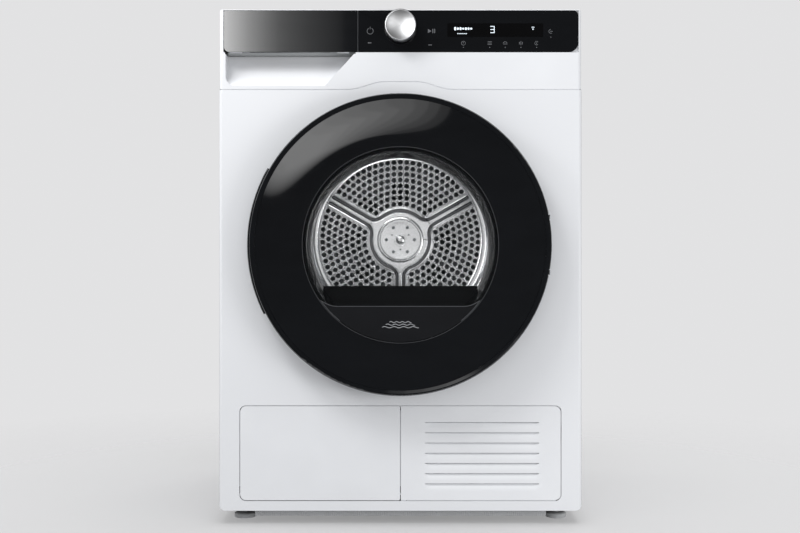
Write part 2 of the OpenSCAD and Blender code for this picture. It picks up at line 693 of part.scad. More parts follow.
// The tensioner's pulley rides on the belt's lower span, its arm turns about a post on the base
span_a = belt_dir - belt_open;
span_at = 0.7;
span_0 = on_circle(0, drum_z, belt_in, span_a);
span_1 = on_circle(motor_x, motor_z, pulley_in, span_a);
idler_reach = belt_t + idler_r + skim_gap;
idler_x = span_0[0] + (span_1[0] - span_0[0]) * span_at + idler_reach * cos(span_a);
idler_z = span_0[1] + (span_1[1] - span_0[1]) * span_at + idler_reach * sin(span_a);
arm_l = 60;
arm_y = belt_y + belt_w / 2 + 4;
arm_t = 4;
arm_pivot_x = idler_x + arm_l * sin(span_a);
arm_pivot_z = idler_z - arm_l * cos(span_a);

module tensioner_pulley() color("#333333") difference() {
  rod_y(idler_x, idler_z, belt_y - belt_w / 2, belt_y + belt_w / 2 + 2, idler_r);
  rod_y(idler_x, idler_z, belt_y - belt_w, belt_y + belt_w, pin_r + run_gap);
}
module tensioner_arm() color("silver") union() {
  slab(arm_y, arm_t) difference() {
    union() {
      translate([idler_x, idler_z]) circle(10);
      translate([arm_pivot_x, arm_pivot_z]) circle(10);
      translate([idler_x, idler_z]) rotate(span_a - 90) translate([0, -8]) square([arm_l, 16]);
    }
    translate([arm_pivot_x, arm_pivot_z]) circle(pin_r + run_gap);
  }
  rod_y(idler_x, idler_z, belt_y - belt_w / 2 - 2, arm_y, pin_r);
}

module roller(s) color("#2b2b2d") difference() {
  turned(s * roller_x, roller_z) polygon([[0, roller_y0], [roller_r - 1, roller_y0], [roller_r, roller_y0 + 1],
    [roller_r, roller_y0 + roller_w - 1], [roller_r - 1, roller_y0 + roller_w], [0, roller_y0 + roller_w]]);
  rod_y(s * roller_x, roller_z, roller_y0 - 1, roller_y0 + roller_w + 1, pin_r + run_gap);
}
module roller_left() roller(-1);
module roller_right() roller(1);

module motor_stator() color("#8a8f96") difference() {
  union() {
    rod_y(motor_x, motor_z, motor_y0, motor_y1, motor_r);
    for (y = [motor_y0 + 12, motor_y1 - 24])
      block(motor_x - 40, motor_x + 40, y, y + 12, tray_z0 + tray_floor_t, motor_z - 30);
  }
  rod_y(motor_x, motor_z, motor_y0 - 1, motor_y1 + 1, shaft_r + run_gap);
  rod_y(motor_x, motor_z, motor_y0 + 10, motor_y1 - 10, motor_r - 22);
}
fan_y0 = motor_y1 + 12;
module motor_rotor() color("silver") union() {
  rod_y(motor_x, motor_z, belt_y - belt_w / 2 - 4, fan_y0 + 34, shaft_r);
  rod_y(motor_x, motor_z, belt_y - belt_w / 2 - 1, belt_y + belt_w / 2 + 1, pulley_r);
  rod_y(motor_x, motor_z, motor_y0 + 16, motor_y1 - 16, motor_r - 23);
}

// Radial fan on the motor's other end
module process_fan() color("#3a3a3c") difference() {
  union() {
    rod_y(motor_x, motor_z, fan_y0 + 4, fan_y0 + 7, process_fan_r);
    rod_y(motor_x, motor_z, fan_y0 + 4, fan_y0 + 30, shaft_r + 8);
    for (i = [0 : 11]) translate([motor_x, 0, motor_z]) rotate([0, 30 * i, 0])
      block(30, process_fan_r - 1, fan_y0 + 6, fan_y0 + 28, -1, 1);
  }
  rod_y(motor_x, motor_z, fan_y0, fan_y0 + 40, shaft_r + 0.02);
}
volute_r = process_fan_r + 5;
duct_x0 = 52;
duct_x1 = 112;
duct_z1 = motor_z - volute_r + 54;
module fan_housing() color("#55585c") difference() {
  union() {
    rod_y(motor_x, motor_z, fan_y0, fan_y0 + 38, volute_r + 2.5);
    block(duct_x0, motor_x, fan_y0, fan_y0 + 38, motor_z - volute_r - 2.5, duct_z1 - 20);
    block(duct_x0, duct_x1, fan_y0, rear_panel_y - 0.5, motor_z - volute_r - 2.5, duct_z1 - 20);
  }
  rod_y(motor_x, motor_z, fan_y0 + 2.5, fan_y0 + 35.5, volute_r);
  rod_y(motor_x, motor_z, fan_y0 - 1, fan_y0 + 5, 28);
  block(duct_x0 + 2.5, motor_x, fan_y0 + 2.5, fan_y0 + 35.5, motor_z - volute_r, duct_z1 - 22.5);
  block(duct_x0 + 2.5, duct_x1 - 2.5, fan_y0 + 2.5, rear_panel_y, motor_z - volute_r, duct_z1 - 22.5);
}

// ---- Heat pump ----
exchanger_x0 = -half_w + 36;
exchanger_x1 = -40;
evaporator_y = front_y + 150;
condenser_y = front_y + 300;
exchanger_z0 = tray_z0 + tray_floor_t + 12;
exchanger_h = 130;
exchanger_d = 120;
fin_count = 14;

// Aluminium fins on three copper runs, closed by an end plate on each side
module exchanger(y0) {
  fin_pitch = (exchanger_x1 - exchanger_x0 - 4) / fin_count;
  for (i = [0 : fin_count])
    block(exchanger_x0 + i * fin_pitch, exchanger_x0 + i * fin_pitch + (i % fin_count == 0 ? 4 : 2), y0, y0 + exchanger_d,
      exchanger_z0, exchanger_z0 + exchanger_h);
  for (z = [25, 65, 105])
    rod_x(y0 + exchanger_d / 2, exchanger_z0 + z, exchanger_x0 + 1, exchanger_x1 - 1, 7);
  block(exchanger_x0, exchanger_x1, y0 + 10, y0 + exchanger_d - 10, exchanger_z0, exchanger_z0 + 3);
}
module evaporator() color("silver") exchanger(evaporator_y);
module condenser() color("silver") exchanger(condenser_y);

compressor_x = 195;
compressor_y = front_y + 455;
compressor_r = 56;
compressor_z0 = tray_z0 + tray_floor_t + 14;
compressor_h = 150;
stub_x = compressor_x - compressor_r - 12;
module compressor() color("#1c1c1e") union() {
  translate([compressor_x, compressor_y, 0]) rotate_extrude() polygon([
    [0, compressor_z0], [compressor_r - 8, compressor_z0], [compressor_r, compressor_z0 + 8],
    [compressor_r, compressor_z0 + compressor_h - 24], [compressor_r - 10, compressor_z0 + compressor_h - 8],
    [compressor_r - 26, compressor_z0 + compressor_h], [0, compressor_z0 + compressor_h]]);
  for (a = [90, 210, 330])
    rod_z(compressor_x + 54 * cos(a), compressor_y + 54 * sin(a), tray_z0 + tray_floor_t, compressor_z0 + 6, 11);
  rod_x(compressor_y, compressor_z0 + 100, stub_x, compressor_x, 5);
  rod_x(compressor_y - 20, compressor_z0 + 70, stub_x, compressor_x, 5);
}

// A bar from p to q, and a pipe with round elbows along a list of points
module bar(p, q, r) {
  d = q - p;
  translate(p) rotate([0, acos(d[2] / norm(d)), atan2(d[1], d[0])]) cylinder(h = norm(d), r = r);
}
module pipe(points, r) {
  for (i = [0 : len(points) - 2]) bar(points[i], points[i + 1], r);
  for (i = [1 : len(points) - 2]) translate(points[i]) sphere(r);
}
module refrigerant_pipes() color("peru") {
  discharge_z = compressor_z0 + 100;
  suction_z = compressor_z0 + 70;
  condenser_mid = condenser_y + exchanger_d - 20;
  evaporator_mid = evaporator_y + 30;
  pipe([[stub_x, compressor_y, discharge_z], [-14, compressor_y, discharge_z], [-14, condenser_mid, discharge_z],
    [exchanger_x1, condenser_mid, discharge_z]], 4);
  pipe([[stub_x, compressor_y - 20, suction_z], [2, compressor_y - 20, suction_z], [2, evaporator_mid, suction_z],
    [exchanger_x1, evaporator_mid, suction_z]], 4);
  pipe([[exchanger_x1, condenser_y + 20, exchanger_z0 + 30], [-26, condenser_y + 20, exchanger_z0 + 30],
    [-26, evaporator_y + exchanger_d - 20, exchanger_z0 + 30],
    [exchanger_x1, evaporator_y + exchanger_d - 20, exchanger_z0 + 30]], 3);
}

spigot_x = -200;
spigot_z = 80;
spigot_r = 8;
spigot_l = 20;
spigot_y = rear_panel_y + sheet_t + 2;
module drain_pump() color("#2f3a44") difference() {
  union() {
    rod_z(spigot_x, rear_panel_y - 45, tray_z0 + tray_floor_t, spigot_z + 16, 26);
    rod_y(spigot_x, spigot_z, rear_panel_y - 45, rear_panel_y + sheet_t + 3, spigot_r - 0.8);
    rod_y(spigot_x, spigot_z, spigot_y, spigot_y + spigot_l, spigot_r);
  }
  rod_y(spigot_x, spigot_z, rear_panel_y - 45, spigot_y + spigot_l + 1, spigot_r - 2.5);
}

// Plastic base with bosses for the feet, the tensioner's post and its pin
module base_tray() color("#5a5d60") difference() {
  union() {
    difference() {
      block(-half_w + 2, half_w - 2, tray_y0, tray_y1, tray_z0, tray_z0 + 42);
      block(-half_w + 5, half_w - 5, tray_y0 + 3, tray_y1 - 3, tray_z0 + tray_floor_t, tray_z0 + 50);
      block(duct_x0 - 1, duct_x1 + 1, tray_y1 - 4, tray_y1 + 1, motor_z - volute_r - 3.5, tray_z0 + 50);
    }
    for (x = [-foot_x, foot_x]) for (y = [foot_front_y, foot_rear_y])
      rod_z(x, y, tray_z0, tray_z0 + 38, 13);
    block(-half_w + 58, half_w - 58, tray_y0 - 3, tray_y0 + 3, foot_h + 2, tray_z0 + 3);
    block(arm_pivot_x - 10, arm_pivot_x + 10, arm_y + arm_t + 1, arm_y + arm_t + 12, tray_z0, arm_pivot_z + 8);
    rod_y(arm_pivot_x, arm_pivot_z, arm_y - 2, arm_y + arm_t + 6, pin_r);
  }
  for (x = [-foot_x, foot_x]) for (y = [foot_front_y, foot_rear_y])
    rod_z(x, y, tray_z0 - 1, tray_z0 + 40, stud_r + run_gap);
}

module foot(x, y) color("#3c3e40") union() {
  translate([x, y, 0]) rotate_extrude() polygon([[0, 0], [foot_r - 1, 0], [foot_r, 1], [foot_r, foot_h - 2],
    [foot_r - 3, foot_h], [0, foot_h]]);
  rod_z(x, y, foot_h, tray_z0 + 36, stud_r);
}
module foot_front_left() foot(-foot_x, foot_front_y);
module foot_front_right() foot(foot_x, foot_front_y);
module foot_rear_left() foot(-foot_x, foot_rear_y);
module foot_rear_right() foot(foot_x, foot_rear_y);

// ---- Service panel ----
flap_pin_r = 2;
module service_flap() color("white") union() {
  slab(front_y, flap_t) round_rect(flap_x0, flap_x1, flap_z0, flap_z1, service_r - seam_gap, 3, 2, service_r - seam_gap);
  for (x = [flap_x0 + 3, flap_x1 - 15])
    rod_x(flap_axis_y, flap_axis_z, x, x + 12, 3.4);
  rod_x(flap_axis_y, flap_axis_z, flap_x0 - 5, flap_x0 + 8, flap_pin_r);
  rod_x(flap_axis_y, flap_axis_z, flap_x1 - 8, flap_x1 + 5, flap_pin_r);
}

slot_x1 = service_half_w - 37;
slot_x0 = slot_x1 - slot_w;
slot_top_z = service_z0 + service_h - 28.5;
// The flap's lower edge swings on this radius, and the carrier's bar runs beneath it
flap_sweep_r = norm([flap_axis_y - front_y, flap_axis_z - flap_z0]);
flap_sweep_z = flap_axis_z - flap_sweep_r - 0.8;
carrier_z0 = flap_sweep_z - 4;
// Fixed grille on the right, moulded in one with the carrier that the flap's pins turn in
module louvre_grille() color("white") difference() {
  union() {
    slab(front_y, flap_t) round_rect(seam_gap / 2, service_half_w - seam_gap, flap_z0, flap_z1, 2,
      service_r - seam_gap, service_r - seam_gap, 2);
    block(seam_gap / 2 + 0.2, 9, front_y + 1.2, front_y + 15, carrier_z0, flap_axis_z + 5);
    block(-service_half_w - 9, -service_half_w - 0.5, front_y + 1.2, front_y + 15, carrier_z0, flap_axis_z + 5);
    block(-service_half_w - 9, 9, front_y + 1.2, front_y + 15, carrier_z0, flap_sweep_z);
  }
  for (i = [0 : slot_count - 1])
    block(slot_x0, slot_x1, front_y - 1, front_y + flap_t + 1, slot_top_z - i * slot_pitch - slot_h / 2,
      slot_top_z - i * slot_pitch + slot_h / 2);
  rod_x(flap_axis_y, flap_axis_z, -service_half_w - 10, flap_x0 + 1, flap_pin_r + run_gap);
  rod_x(flap_axis_y, flap_axis_z, -1, 12, flap_pin_r + run_gap);
}

lock_x0 = -service_half_w + 40;
lock_x1 = -42;
lock_r = 12;
lock_pin_r = 5;
module exchanger_cover() color("#d8dadc") difference() {
  slab(cover_y, 4) round_rect(-service_half_w + 14, -16, tray_z0 + 44, service_z0 + service_h - 8, 10, 10, 10, 10);
  for (x = [lock_x0, lock_x1])
    rod_y(x, lock_z, cover_y - 1, cover_y + 5, lock_pin_r + run_gap);
}
module lock(x) color("royalblue") union() {
  difference() {
    rod_y(x, lock_z, cover_y - 9, cover_y - 0.4, lock_r);
    block(x - 13, x - 2.5, cover_y - 10, cover_y - 3, lock_z - 13, lock_z + 13);
    block(x + 2.5, x + 13, cover_y - 10, cover_y - 3, lock_z - 13, lock_z + 13);
  }
  rod_y(x, lock_z, cover_y - 1, cover_y + 8, lock_pin_r);
  block(x - 5, x + 5, cover_y + 4.4, cover_y + 8, lock_z - 4, lock_z + 18);
}
module lock_left() lock(lock_x0);
module lock_right() lock(lock_x1);

fan_shaft_r = 3;
module cooling_fan_motor() color("#3c3e40") union() {
  turned(fan_x, fan_z) polygon([[cooling_fan_r + 3, fan_y], [cooling_fan_r + 6, fan_y], [cooling_fan_r + 6, fan_y + 26],
    [cooling_fan_r + 3, fan_y + 26]]);
  for (a = [0, 60, 120]) translate([fan_x, 0, fan_z]) rotate([0, a, 0])
    block(-cooling_fan_r - 4, cooling_fan_r + 4, fan_y + 22, fan_y + 26, -4, 4);
  rod_y(fan_x, fan_z, fan_y + 22, fan_y + 40, 20);
  rod_y(fan_x, fan_z, fan_y + 2, fan_y + 24, fan_shaft_r);
}
module cooling_fan() color("#1d1d1f") difference() {
  union() {
    rod_y(fan_x, fan_z, fan_y + 3, fan_y + 18, 17);
    for (i = [0 : 6]) translate([fan_x, fan_y + 10, fan_z]) rotate([0, 360 / 7 * i, 0]) rotate([35, 0, 0])
      block(12, cooling_fan_r - 3, -1, 1, -10, 10);
  }
  rod_y(fan_x, fan_z, fan_y, fan_y + 20, fan_shaft_r + run_gap);
}

// ---- Rear fittings ----
gland_x = -half_w + 60;
gland_z = worktop_z - 90;
gland_bore_r = 4.5;
module mains_gland() color("#2a2a2c") difference() {
  union() {
    block(gland_x - 32, gland_x + 32, rear_panel_y + sheet_t, rear_panel_y + sheet_t + 12, gland_z - 24, gland_z + 24);
    rod_y(gland_x, gland_z, rear_panel_y + sheet_t + 10, rear_panel_y + sheet_t + 20, 9);
  }
  rod_y(gland_x, gland_z, rear_panel_y + sheet_t + 4, rear_panel_y + sheet_t + 21, gland_bore_r);
}
module rear_screws() color("silver") for (x = [-half_w + 9, half_w - 9])
  for (i = [0 : 5]) rod_y(x, panel_z0 + 60 + i * (worktop_z - panel_z0 - 90) / 5,
    rear_panel_y + sheet_t, rear_panel_y + sheet_t + 2.5, 4.5);

side_panel_left();
side_panel_right();
rear_panel();
worktop();
front_panel();
fascia();
control_strip();
control_board();
tank_bay();
base_tray();
front_bulkhead();
filter_housing();
mouth_seal();
rear_duct_cover();
rear_bearing();
drive_belt();
motor_stator();
fan_housing();
compressor();
evaporator();
condenser();
refrigerant_pipes();
drain_pump();
exchanger_cover();
louvre_grille();
cooling_fan_motor();
latch_housing();
hinge_bracket();
hinge_pin();
mains_gland();
rear_screws();
foot_front_left();
foot_front_right();
foot_rear_left();
foot_rear_right();
door_rim();
door_dish();
door_window();
door_bowl();
door_back_ring();
door_hook();
door_hinge_arm();
tank_bottle();
tank_front();
knob();
service_flap();
lint_filter();
drum_shell();
drum_back();
drum_lifters();
drum_axle();
motor_rotor();
process_fan();
tensioner_arm();
tensioner_pulley();
roller_left();
roller_right();
cooling_fan();
lock_left();
lock_right();
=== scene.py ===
"""Looks of a free-standing heat-pump clothes dryer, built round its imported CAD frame.

Each sub-assembly is a class that holds its sizes and builds its own meshes. Each finish is a
frozen dataclass that makes one procedural material. Lengths are in metres.
"""

import json
import logging
import math
from dataclasses import dataclass
from enum import Enum
from typing import Callable, Sequence, Union

import bmesh
import bpy
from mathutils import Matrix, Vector


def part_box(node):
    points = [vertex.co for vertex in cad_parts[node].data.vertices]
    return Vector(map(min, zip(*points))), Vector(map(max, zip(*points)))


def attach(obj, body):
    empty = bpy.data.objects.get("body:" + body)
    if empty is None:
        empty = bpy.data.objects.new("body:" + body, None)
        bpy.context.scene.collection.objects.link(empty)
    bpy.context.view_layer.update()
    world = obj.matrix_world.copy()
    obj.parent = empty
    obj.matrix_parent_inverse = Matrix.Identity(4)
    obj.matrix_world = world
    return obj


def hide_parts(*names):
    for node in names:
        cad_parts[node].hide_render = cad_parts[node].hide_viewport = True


logging.basicConfig(level=logging.INFO, format="%(name)s: %(message)s")
log = logging.getLogger("dryer")

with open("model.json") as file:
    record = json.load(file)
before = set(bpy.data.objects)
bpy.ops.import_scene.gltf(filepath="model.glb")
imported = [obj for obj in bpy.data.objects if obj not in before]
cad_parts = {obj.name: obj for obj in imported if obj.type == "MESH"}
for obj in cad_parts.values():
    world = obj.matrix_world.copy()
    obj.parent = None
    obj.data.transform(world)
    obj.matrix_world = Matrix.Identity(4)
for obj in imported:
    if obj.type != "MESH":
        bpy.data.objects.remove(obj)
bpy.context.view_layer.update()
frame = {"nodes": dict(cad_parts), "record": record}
MM = 0.001
BODY = "cabinet"

Number = Union[int, float]
Point = tuple[float, float]
Builder = Callable[[bmesh.types.BMesh], None]


# ---------------------------------------------------------------- shader graphs


class Val:
    """A socket that carries a number, with the arithmetic that adds Math nodes."""

    def __init__(self, graph: "Graph", socket: bpy.types.NodeSocket) -> None:
        """Keeps the socket and the graph that it belongs to."""
        self.graph = graph
        self.socket = socket

    def _math(self, operation: str, first: "Operand", second: "Operand" = 0.0) -> "Val":
        """Adds one Math node.

        Args:
            operation: Blender's name of the operation.
            first: the first operand.
            second: the second operand.

        Returns:
            The node's value.
        """
        return Val(self.graph, self.graph.node("ShaderNodeMath", {"operation": operation},
                                               {0: first, 1: second}))

    def __add__(self, other: "Operand") -> "Val":
        """Sum."""
        return self._math("ADD", self, other)

    __radd__ = __add__

    def __mul__(self, other: "Operand") -> "Val":
        """Product."""
        return self._math("MULTIPLY", self, other)

    __rmul__ = __mul__

    def __sub__(self, other: "Operand") -> "Val":
        """Difference."""
        return self._math("SUBTRACT", self, other)

    def __rsub__(self, other: "Operand") -> "Val":
        """Reflected difference, so that 1 - mask works."""
        return self._math("SUBTRACT", other, self)

    def __truediv__(self, other: "Operand") -> "Val":
        """Quotient."""
        return self._math("DIVIDE", self, other)

    def above(self, edge: "Operand") -> "Val":
        """1 where the value is above the edge, and 0 elsewhere."""
        return self._math("GREATER_THAN", self, edge)

    def sine(self) -> "Val":
        """Sine of the value in radians."""
        return self._math("SINE", self)

    def root(self) -> "Val":
        """Square root."""
        return self._math("SQRT", self)

    def clamp(self) -> "Val":
        """The value held between 0 and 1."""
        return self._math("MINIMUM", self._math("MAXIMUM", self, 0.0), 1.0)


Operand = Union[Val, Number]
Colour = tuple[float, float, float]


class Graph:
    """Node tree of one material."""

    def __init__(self, material: bpy.types.Material) -> None:
        """Clears the material's tree and adds a Principled shader and the output."""
        material.use_nodes = True
        self.tree = material.node_tree
        self.tree.nodes.clear()
        self.out = self.tree.nodes.new("ShaderNodeOutputMaterial")
        self.shader = self.tree.nodes.new("ShaderNodeBsdfPrincipled")
        self.tree.links.new(self.shader.outputs[0], self.out.inputs["Surface"])
        self.coords = self.tree.nodes.new("ShaderNodeTexCoord").outputs["Object"]

    def node(self, kind: str, settings: dict, inputs: dict,
             output: Union[int, str] = 0) -> bpy.types.NodeSocket:
        """Adds any node.

        Args:
            kind: Blender's node type.
            settings: attributes of the node; "stops" holds a ramp's (position, grey) pairs.
            inputs: value, Val or socket for each input, by index or name.
            output: the output wanted.

        Returns:
            That output socket.
        """
        made = self.tree.nodes.new(kind)
        for name, value in settings.items():
            if name == "stops":
                self._stops(made.color_ramp, value)
            else:
                setattr(made, name, value)
        for name, value in inputs.items():
            self.feed(made.inputs[name], value)
        return made.outputs[output]

    @staticmethod
    def _stops(ramp: bpy.types.ColorRamp, stops: Sequence[Point]) -> None:
        """Sets a ramp's stops from (position, grey) pairs."""
        while len(ramp.elements) < len(stops):
            ramp.elements.new(0.5)
        for element, (position, grey) in zip(ramp.elements, stops):
            element.position = position
            element.color = (grey, grey, grey, 1.0)

    def feed(self, target: bpy.types.NodeSocket, value: object) -> None:
        """Links or sets one input."""
        if isinstance(value, Val):
            self.tree.links.new(value.socket, target)
        elif isinstance(value, bpy.types.NodeSocket):
            self.tree.links.new(value, target)
        elif isinstance(value, tuple) and len(value) == 3 and target.type == "RGBA":
            target.default_value = (*value, 1.0)
        else:
            target.default_value = value

    def set(self, **sockets: object) -> None:
        """Sets sockets of the Principled shader; an underscore stands for a blank."""
        for name, value in sockets.items():
            self.feed(self.shader.inputs[name.replace("_", " ")], value)

    def scaled(self, scale: Sequence[float]) -> bpy.types.NodeSocket:
        """Object coordinates stretched along each axis."""
        return self.node("ShaderNodeMapping", {}, {"Vector": self.coords, "Scale": tuple(scale)})

    def noise(self, scale: float, detail: float = 2.0, stretch: Sequence[float] = (1, 1, 1)) -> Val:
        """Noise about 0.5, in object space."""
        return Val(
            self,
            self.node(
                "ShaderNodeTexNoise",
                {"noise_dimensions": "3D"},
                {"Vector": self.scaled(stretch), "Scale": scale, "Detail": detail},
            ),
        )

    def spots(self, scale: float) -> Val:
        """Distance to the nearest of scattered points, in object space."""
        return Val(self, self.node("ShaderNodeTexVoronoi", {}, {"Vector": self.coords, "Scale": scale}))

    def axis_parts(self) -> tuple[Val, Val, Val]:
        """X, Y and Z of the object coordinates."""
        split = self.tree.nodes.new("ShaderNodeSeparateXYZ")
        self.tree.links.new(self.coords, split.inputs[0])
        return tuple(Val(self, socket) for socket in split.outputs)

    def radius_about(self, x: float, z: float) -> Val:
        """Distance from an axis along Y."""
        px, _, pz = self.axis_parts()
        dx, dz = px - x, pz - z
        return (dx * dx + dz * dz).root()

    def mix(self, factor: Operand, first: Colour, second: Colour) -> bpy.types.NodeSocket:
        """A colour between two others."""
        return self.node(
            "ShaderNodeMix", {"data_type": "RGBA"}, {"Factor": factor, 6: first, 7: second}, output=2
        )

    def bump(self, height: Val, strength: float, distance: float = MM) -> None:
        """Feeds a height to the shader's normal through a Bump node."""
        self.set(
            Normal=self.node(
                "ShaderNodeBump", {}, {"Height": height, "Strength": strength, "Distance": distance}
            )
        )


def shade(colour: Colour, factor: float) -> Colour:
    """The colour made lighter or darker by a factor."""
    return tuple(min(1.0, part * factor) for part in colour)


# ---------------------------------------------------------------- finishes


@dataclass(frozen=True)
class Finish:
    """A finish: its material slot in the record and the name of its material."""

    slot: str

    def paint(self, graph: Graph) -> None:
        """Fills the node tree; every finish has its own."""
        raise NotImplementedError

    def material(self, name: str) -> bpy.types.Material:
        """The finish's material, made once.

        Args:
            name: the material's name.

        Returns:
            The material of that name.
        """
        found = bpy.data.materials.get(name)
        if found:
            return found
        made = bpy.data.materials.new(name)
        self.paint(Graph(made))
        return made


@dataclass(frozen=True)
class Enamel(Finish):
    """Baked white enamel on sheet steel: a faint orange peel under a clear gloss."""

    colour: Colour = (0.80, 0.815, 0.84)
    roughness: float = 0.34
    peel: float = 260.0

    def paint(self, graph: Graph) -> None:
        """Mottles the white very slightly and adds the peel."""
        cloud = graph.noise(3.0, 3.0)
        fine = graph.noise(self.peel, 2.0)
        graph.set(
            Base_Color=graph.mix(cloud, shade(self.colour, 0.985), shade(self.colour, 1.015)),
            Roughness=fine * 0.06 + (self.roughness - 0.03),
            Coat_Weight=0.25,
            Coat_Roughness=0.12,
        )
        graph.bump(fine, 0.06, 0.2 * MM)


@dataclass(frozen=True)
class Moulded(Finish):
    """Moulded plastic with a spark-eroded grain."""

    colour: Colour = (0.5, 0.5, 0.5)
    roughness: float = 0.45
    grain: float = 900.0
    depth: float = 0.12

    def paint(self, graph: Graph) -> None:
        """Grain in the height and in the gloss, and flow marks in the colour."""
        grain = graph.noise(self.grain, 3.0)
        flow = graph.noise(9.0, 2.0)
        graph.set(
            Base_Color=graph.mix(flow, shade(self.colour, 0.94), shade(self.colour, 1.06)),
            Roughness=grain * 0.16 + (self.roughness - 0.08),
            Specular_IOR_Level=0.5,
        )
        graph.bump(grain, self.depth, 0.3 * MM)


@dataclass(frozen=True)
class Lacquer(Finish):
    """Polished black: deep colour, hairline wipe marks and a trace of dust in the gloss."""

    colour: Colour = (0.0045, 0.005, 0.006)
    roughness: float = 0.07

    def paint(self, graph: Graph) -> None:
        """Varies the gloss a little, so reflections aren't perfectly clean."""
        wipe = graph.noise(14.0, 4.0, (1.0, 1.0, 3.0))
        dust = graph.noise(1400.0, 1.0)
        graph.set(
            Base_Color=graph.mix(wipe, shade(self.colour, 0.8), shade(self.colour, 1.3)),
            Roughness=wipe * 0.05 + dust * 0.02 + (self.roughness - 0.03),
            Specular_IOR_Level=0.55,
            Coat_Weight=0.3,
            Coat_Roughness=0.03,
        )
        graph.bump(graph.noise(5.0, 1.0), 0.04, 0.5 * MM)


@dataclass(frozen=True)
class Glass(Finish):
    """Clear or smoked glass, painted dark and opaque outside a given radius: painted shade on the bowl's side
    wall.
    """

    tint: Colour = (0.8, 0.82, 0.84)
    alpha: float = 0.2
    roughness: float = 0.03
    axis_z: float = 0.461
    dark_from: float = 1.0

    def paint(self, graph: Graph) -> None:
        """Thin see-through glass: alpha carries the tint, so light reaches the drum."""
        radius = graph.radius_about(0.0, self.axis_z)
        # Painted shade: beyond dark_from the glass turns dark and opaque; only the bowl's side wall lies that
        # far out.
        painted_shade_wall = radius.above(self.dark_from)
        haze = graph.noise(30.0, 3.0)
        graph.set(
            Base_Color=graph.mix(painted_shade_wall, self.tint, (0.006, 0.0065, 0.007)),
            Roughness=haze * 0.03 + self.roughness,
            Alpha=(painted_shade_wall + self.alpha).clamp(),
            Specular_IOR_Level=0.5,
        )


@dataclass(frozen=True)
class SpunMetal(Finish):
    """Aluminium turned on a lathe: fine rings about the knob's axis, and a painted highlight in its colour.
    """

    axis_x: float = 0.0
    axis_z: float = 0.821
    colour: Colour = (0.80, 0.81, 0.82)
    rings: float = 9000.0

    def paint(self, graph: Graph) -> None:
        """Rings in the height, broken up by noise, and a painted highlight: the colour is lighter towards the
        upper left and lower right, darker in the other quarters.
        """
        radius = graph.radius_about(self.axis_x, self.axis_z)
        uneven = graph.noise(500.0, 2.0)
        rings = (radius * self.rings + uneven * 2.0).sine()
        # Painted highlight: the base colour brightens and darkens by quarter round the axis, standing in for
        # the lathe rings' conical reflections.
        x, _, z = graph.axis_parts()
        painted_highlight_fan = (x - self.axis_x) * (z - self.axis_z) / (radius * radius + 1e-6)
        painted_highlight = (painted_highlight_fan * -0.6 + 0.5).clamp()
        graph.set(
            Base_Color=graph.mix(painted_highlight, shade(self.colour, 0.80), shade(self.colour, 1.12)),
            Metallic=1.0,
            Roughness=uneven * 0.06 + 0.34,
        )
        graph.bump(rings, 0.05, 0.04 * MM)


@dataclass(frozen=True)
class Steel(Finish):
    """Bare steel: rolled stainless, machined or zinc coated, by its spangle and its grain."""

    colour: Colour = (0.62, 0.63, 0.65)
    roughness: float = 0.28
    grain: float = 220.0
    stretch: tuple[float, float, float] = (1.0, 1.0, 1.0)
    spangle: float = 0.0

    def paint(self, graph: Graph) -> None:
        """Rolling grain in the gloss and, on zinc coated sheet, crystals in the colour."""
        grain = graph.noise(self.grain, 4.0, self.stretch)
        tone = graph.spots(self.spangle) if self.spangle else graph.noise(12.0, 2.0)
        graph.set(
            Base_Color=graph.mix(tone, shade(self.colour, 0.86), shade(self.colour, 1.1)),
            Metallic=1.0,
            Roughness=grain * 0.14 + (self.roughness - 0.07),
        )
        graph.bump(grain, 0.08, 0.2 * MM)


@dataclass(frozen=True)
class Rubber(Finish):
    """Black rubber: matt, with a chalky bloom."""

    colour: Colour = (0.018, 0.018, 0.019)

    def paint(self, graph: Graph) -> None:
        """A bloom in the colour and a fine skin texture."""
        bloom = graph.noise(40.0, 4.0)
        skin = graph.noise(1200.0, 2.0)
        graph.set(
            Base_Color=graph.mix(bloom, self.colour, shade(self.colour, 2.0)),
            Roughness=bloom * 0.2 + 0.6,
        )
        graph.bump(skin, 0.15, 0.2 * MM)


@dataclass(frozen=True)
class Glow(Finish):
    """Lit display segments behind the black glass."""

    colour: Colour = (0.82, 0.92, 1.0)
    strength: float = 1.6

    def paint(self, graph: Graph) -> None:
        """Light with the slight unevenness of a light guide."""
        uneven = graph.noise(300.0, 1.0)
        graph.set(
            Base_Color=(0.02, 0.02, 0.02),
            Emission_Color=graph.mix(uneven, shade(self.colour, 0.8), self.colour),
            Emission_Strength=self.strength,
            Roughness=0.4,
        )


@dataclass(frozen=True)
class Print(Finish):
    """Screen-printed marks and panels."""

    colour: Colour = (0.35, 0.36, 0.38)
    roughness: float = 0.35

    def paint(self, graph: Graph) -> None:
        """Ink that is a little thinner in places."""
        ink = graph.noise(700.0, 2.0)
        graph.set(
            Base_Color=graph.mix(ink, shade(self.colour, 0.85), shade(self.colour, 1.1)),
            Roughness=ink * 0.1 + self.roughness,
        )
        graph.bump(ink, 0.05, 0.05 * MM)


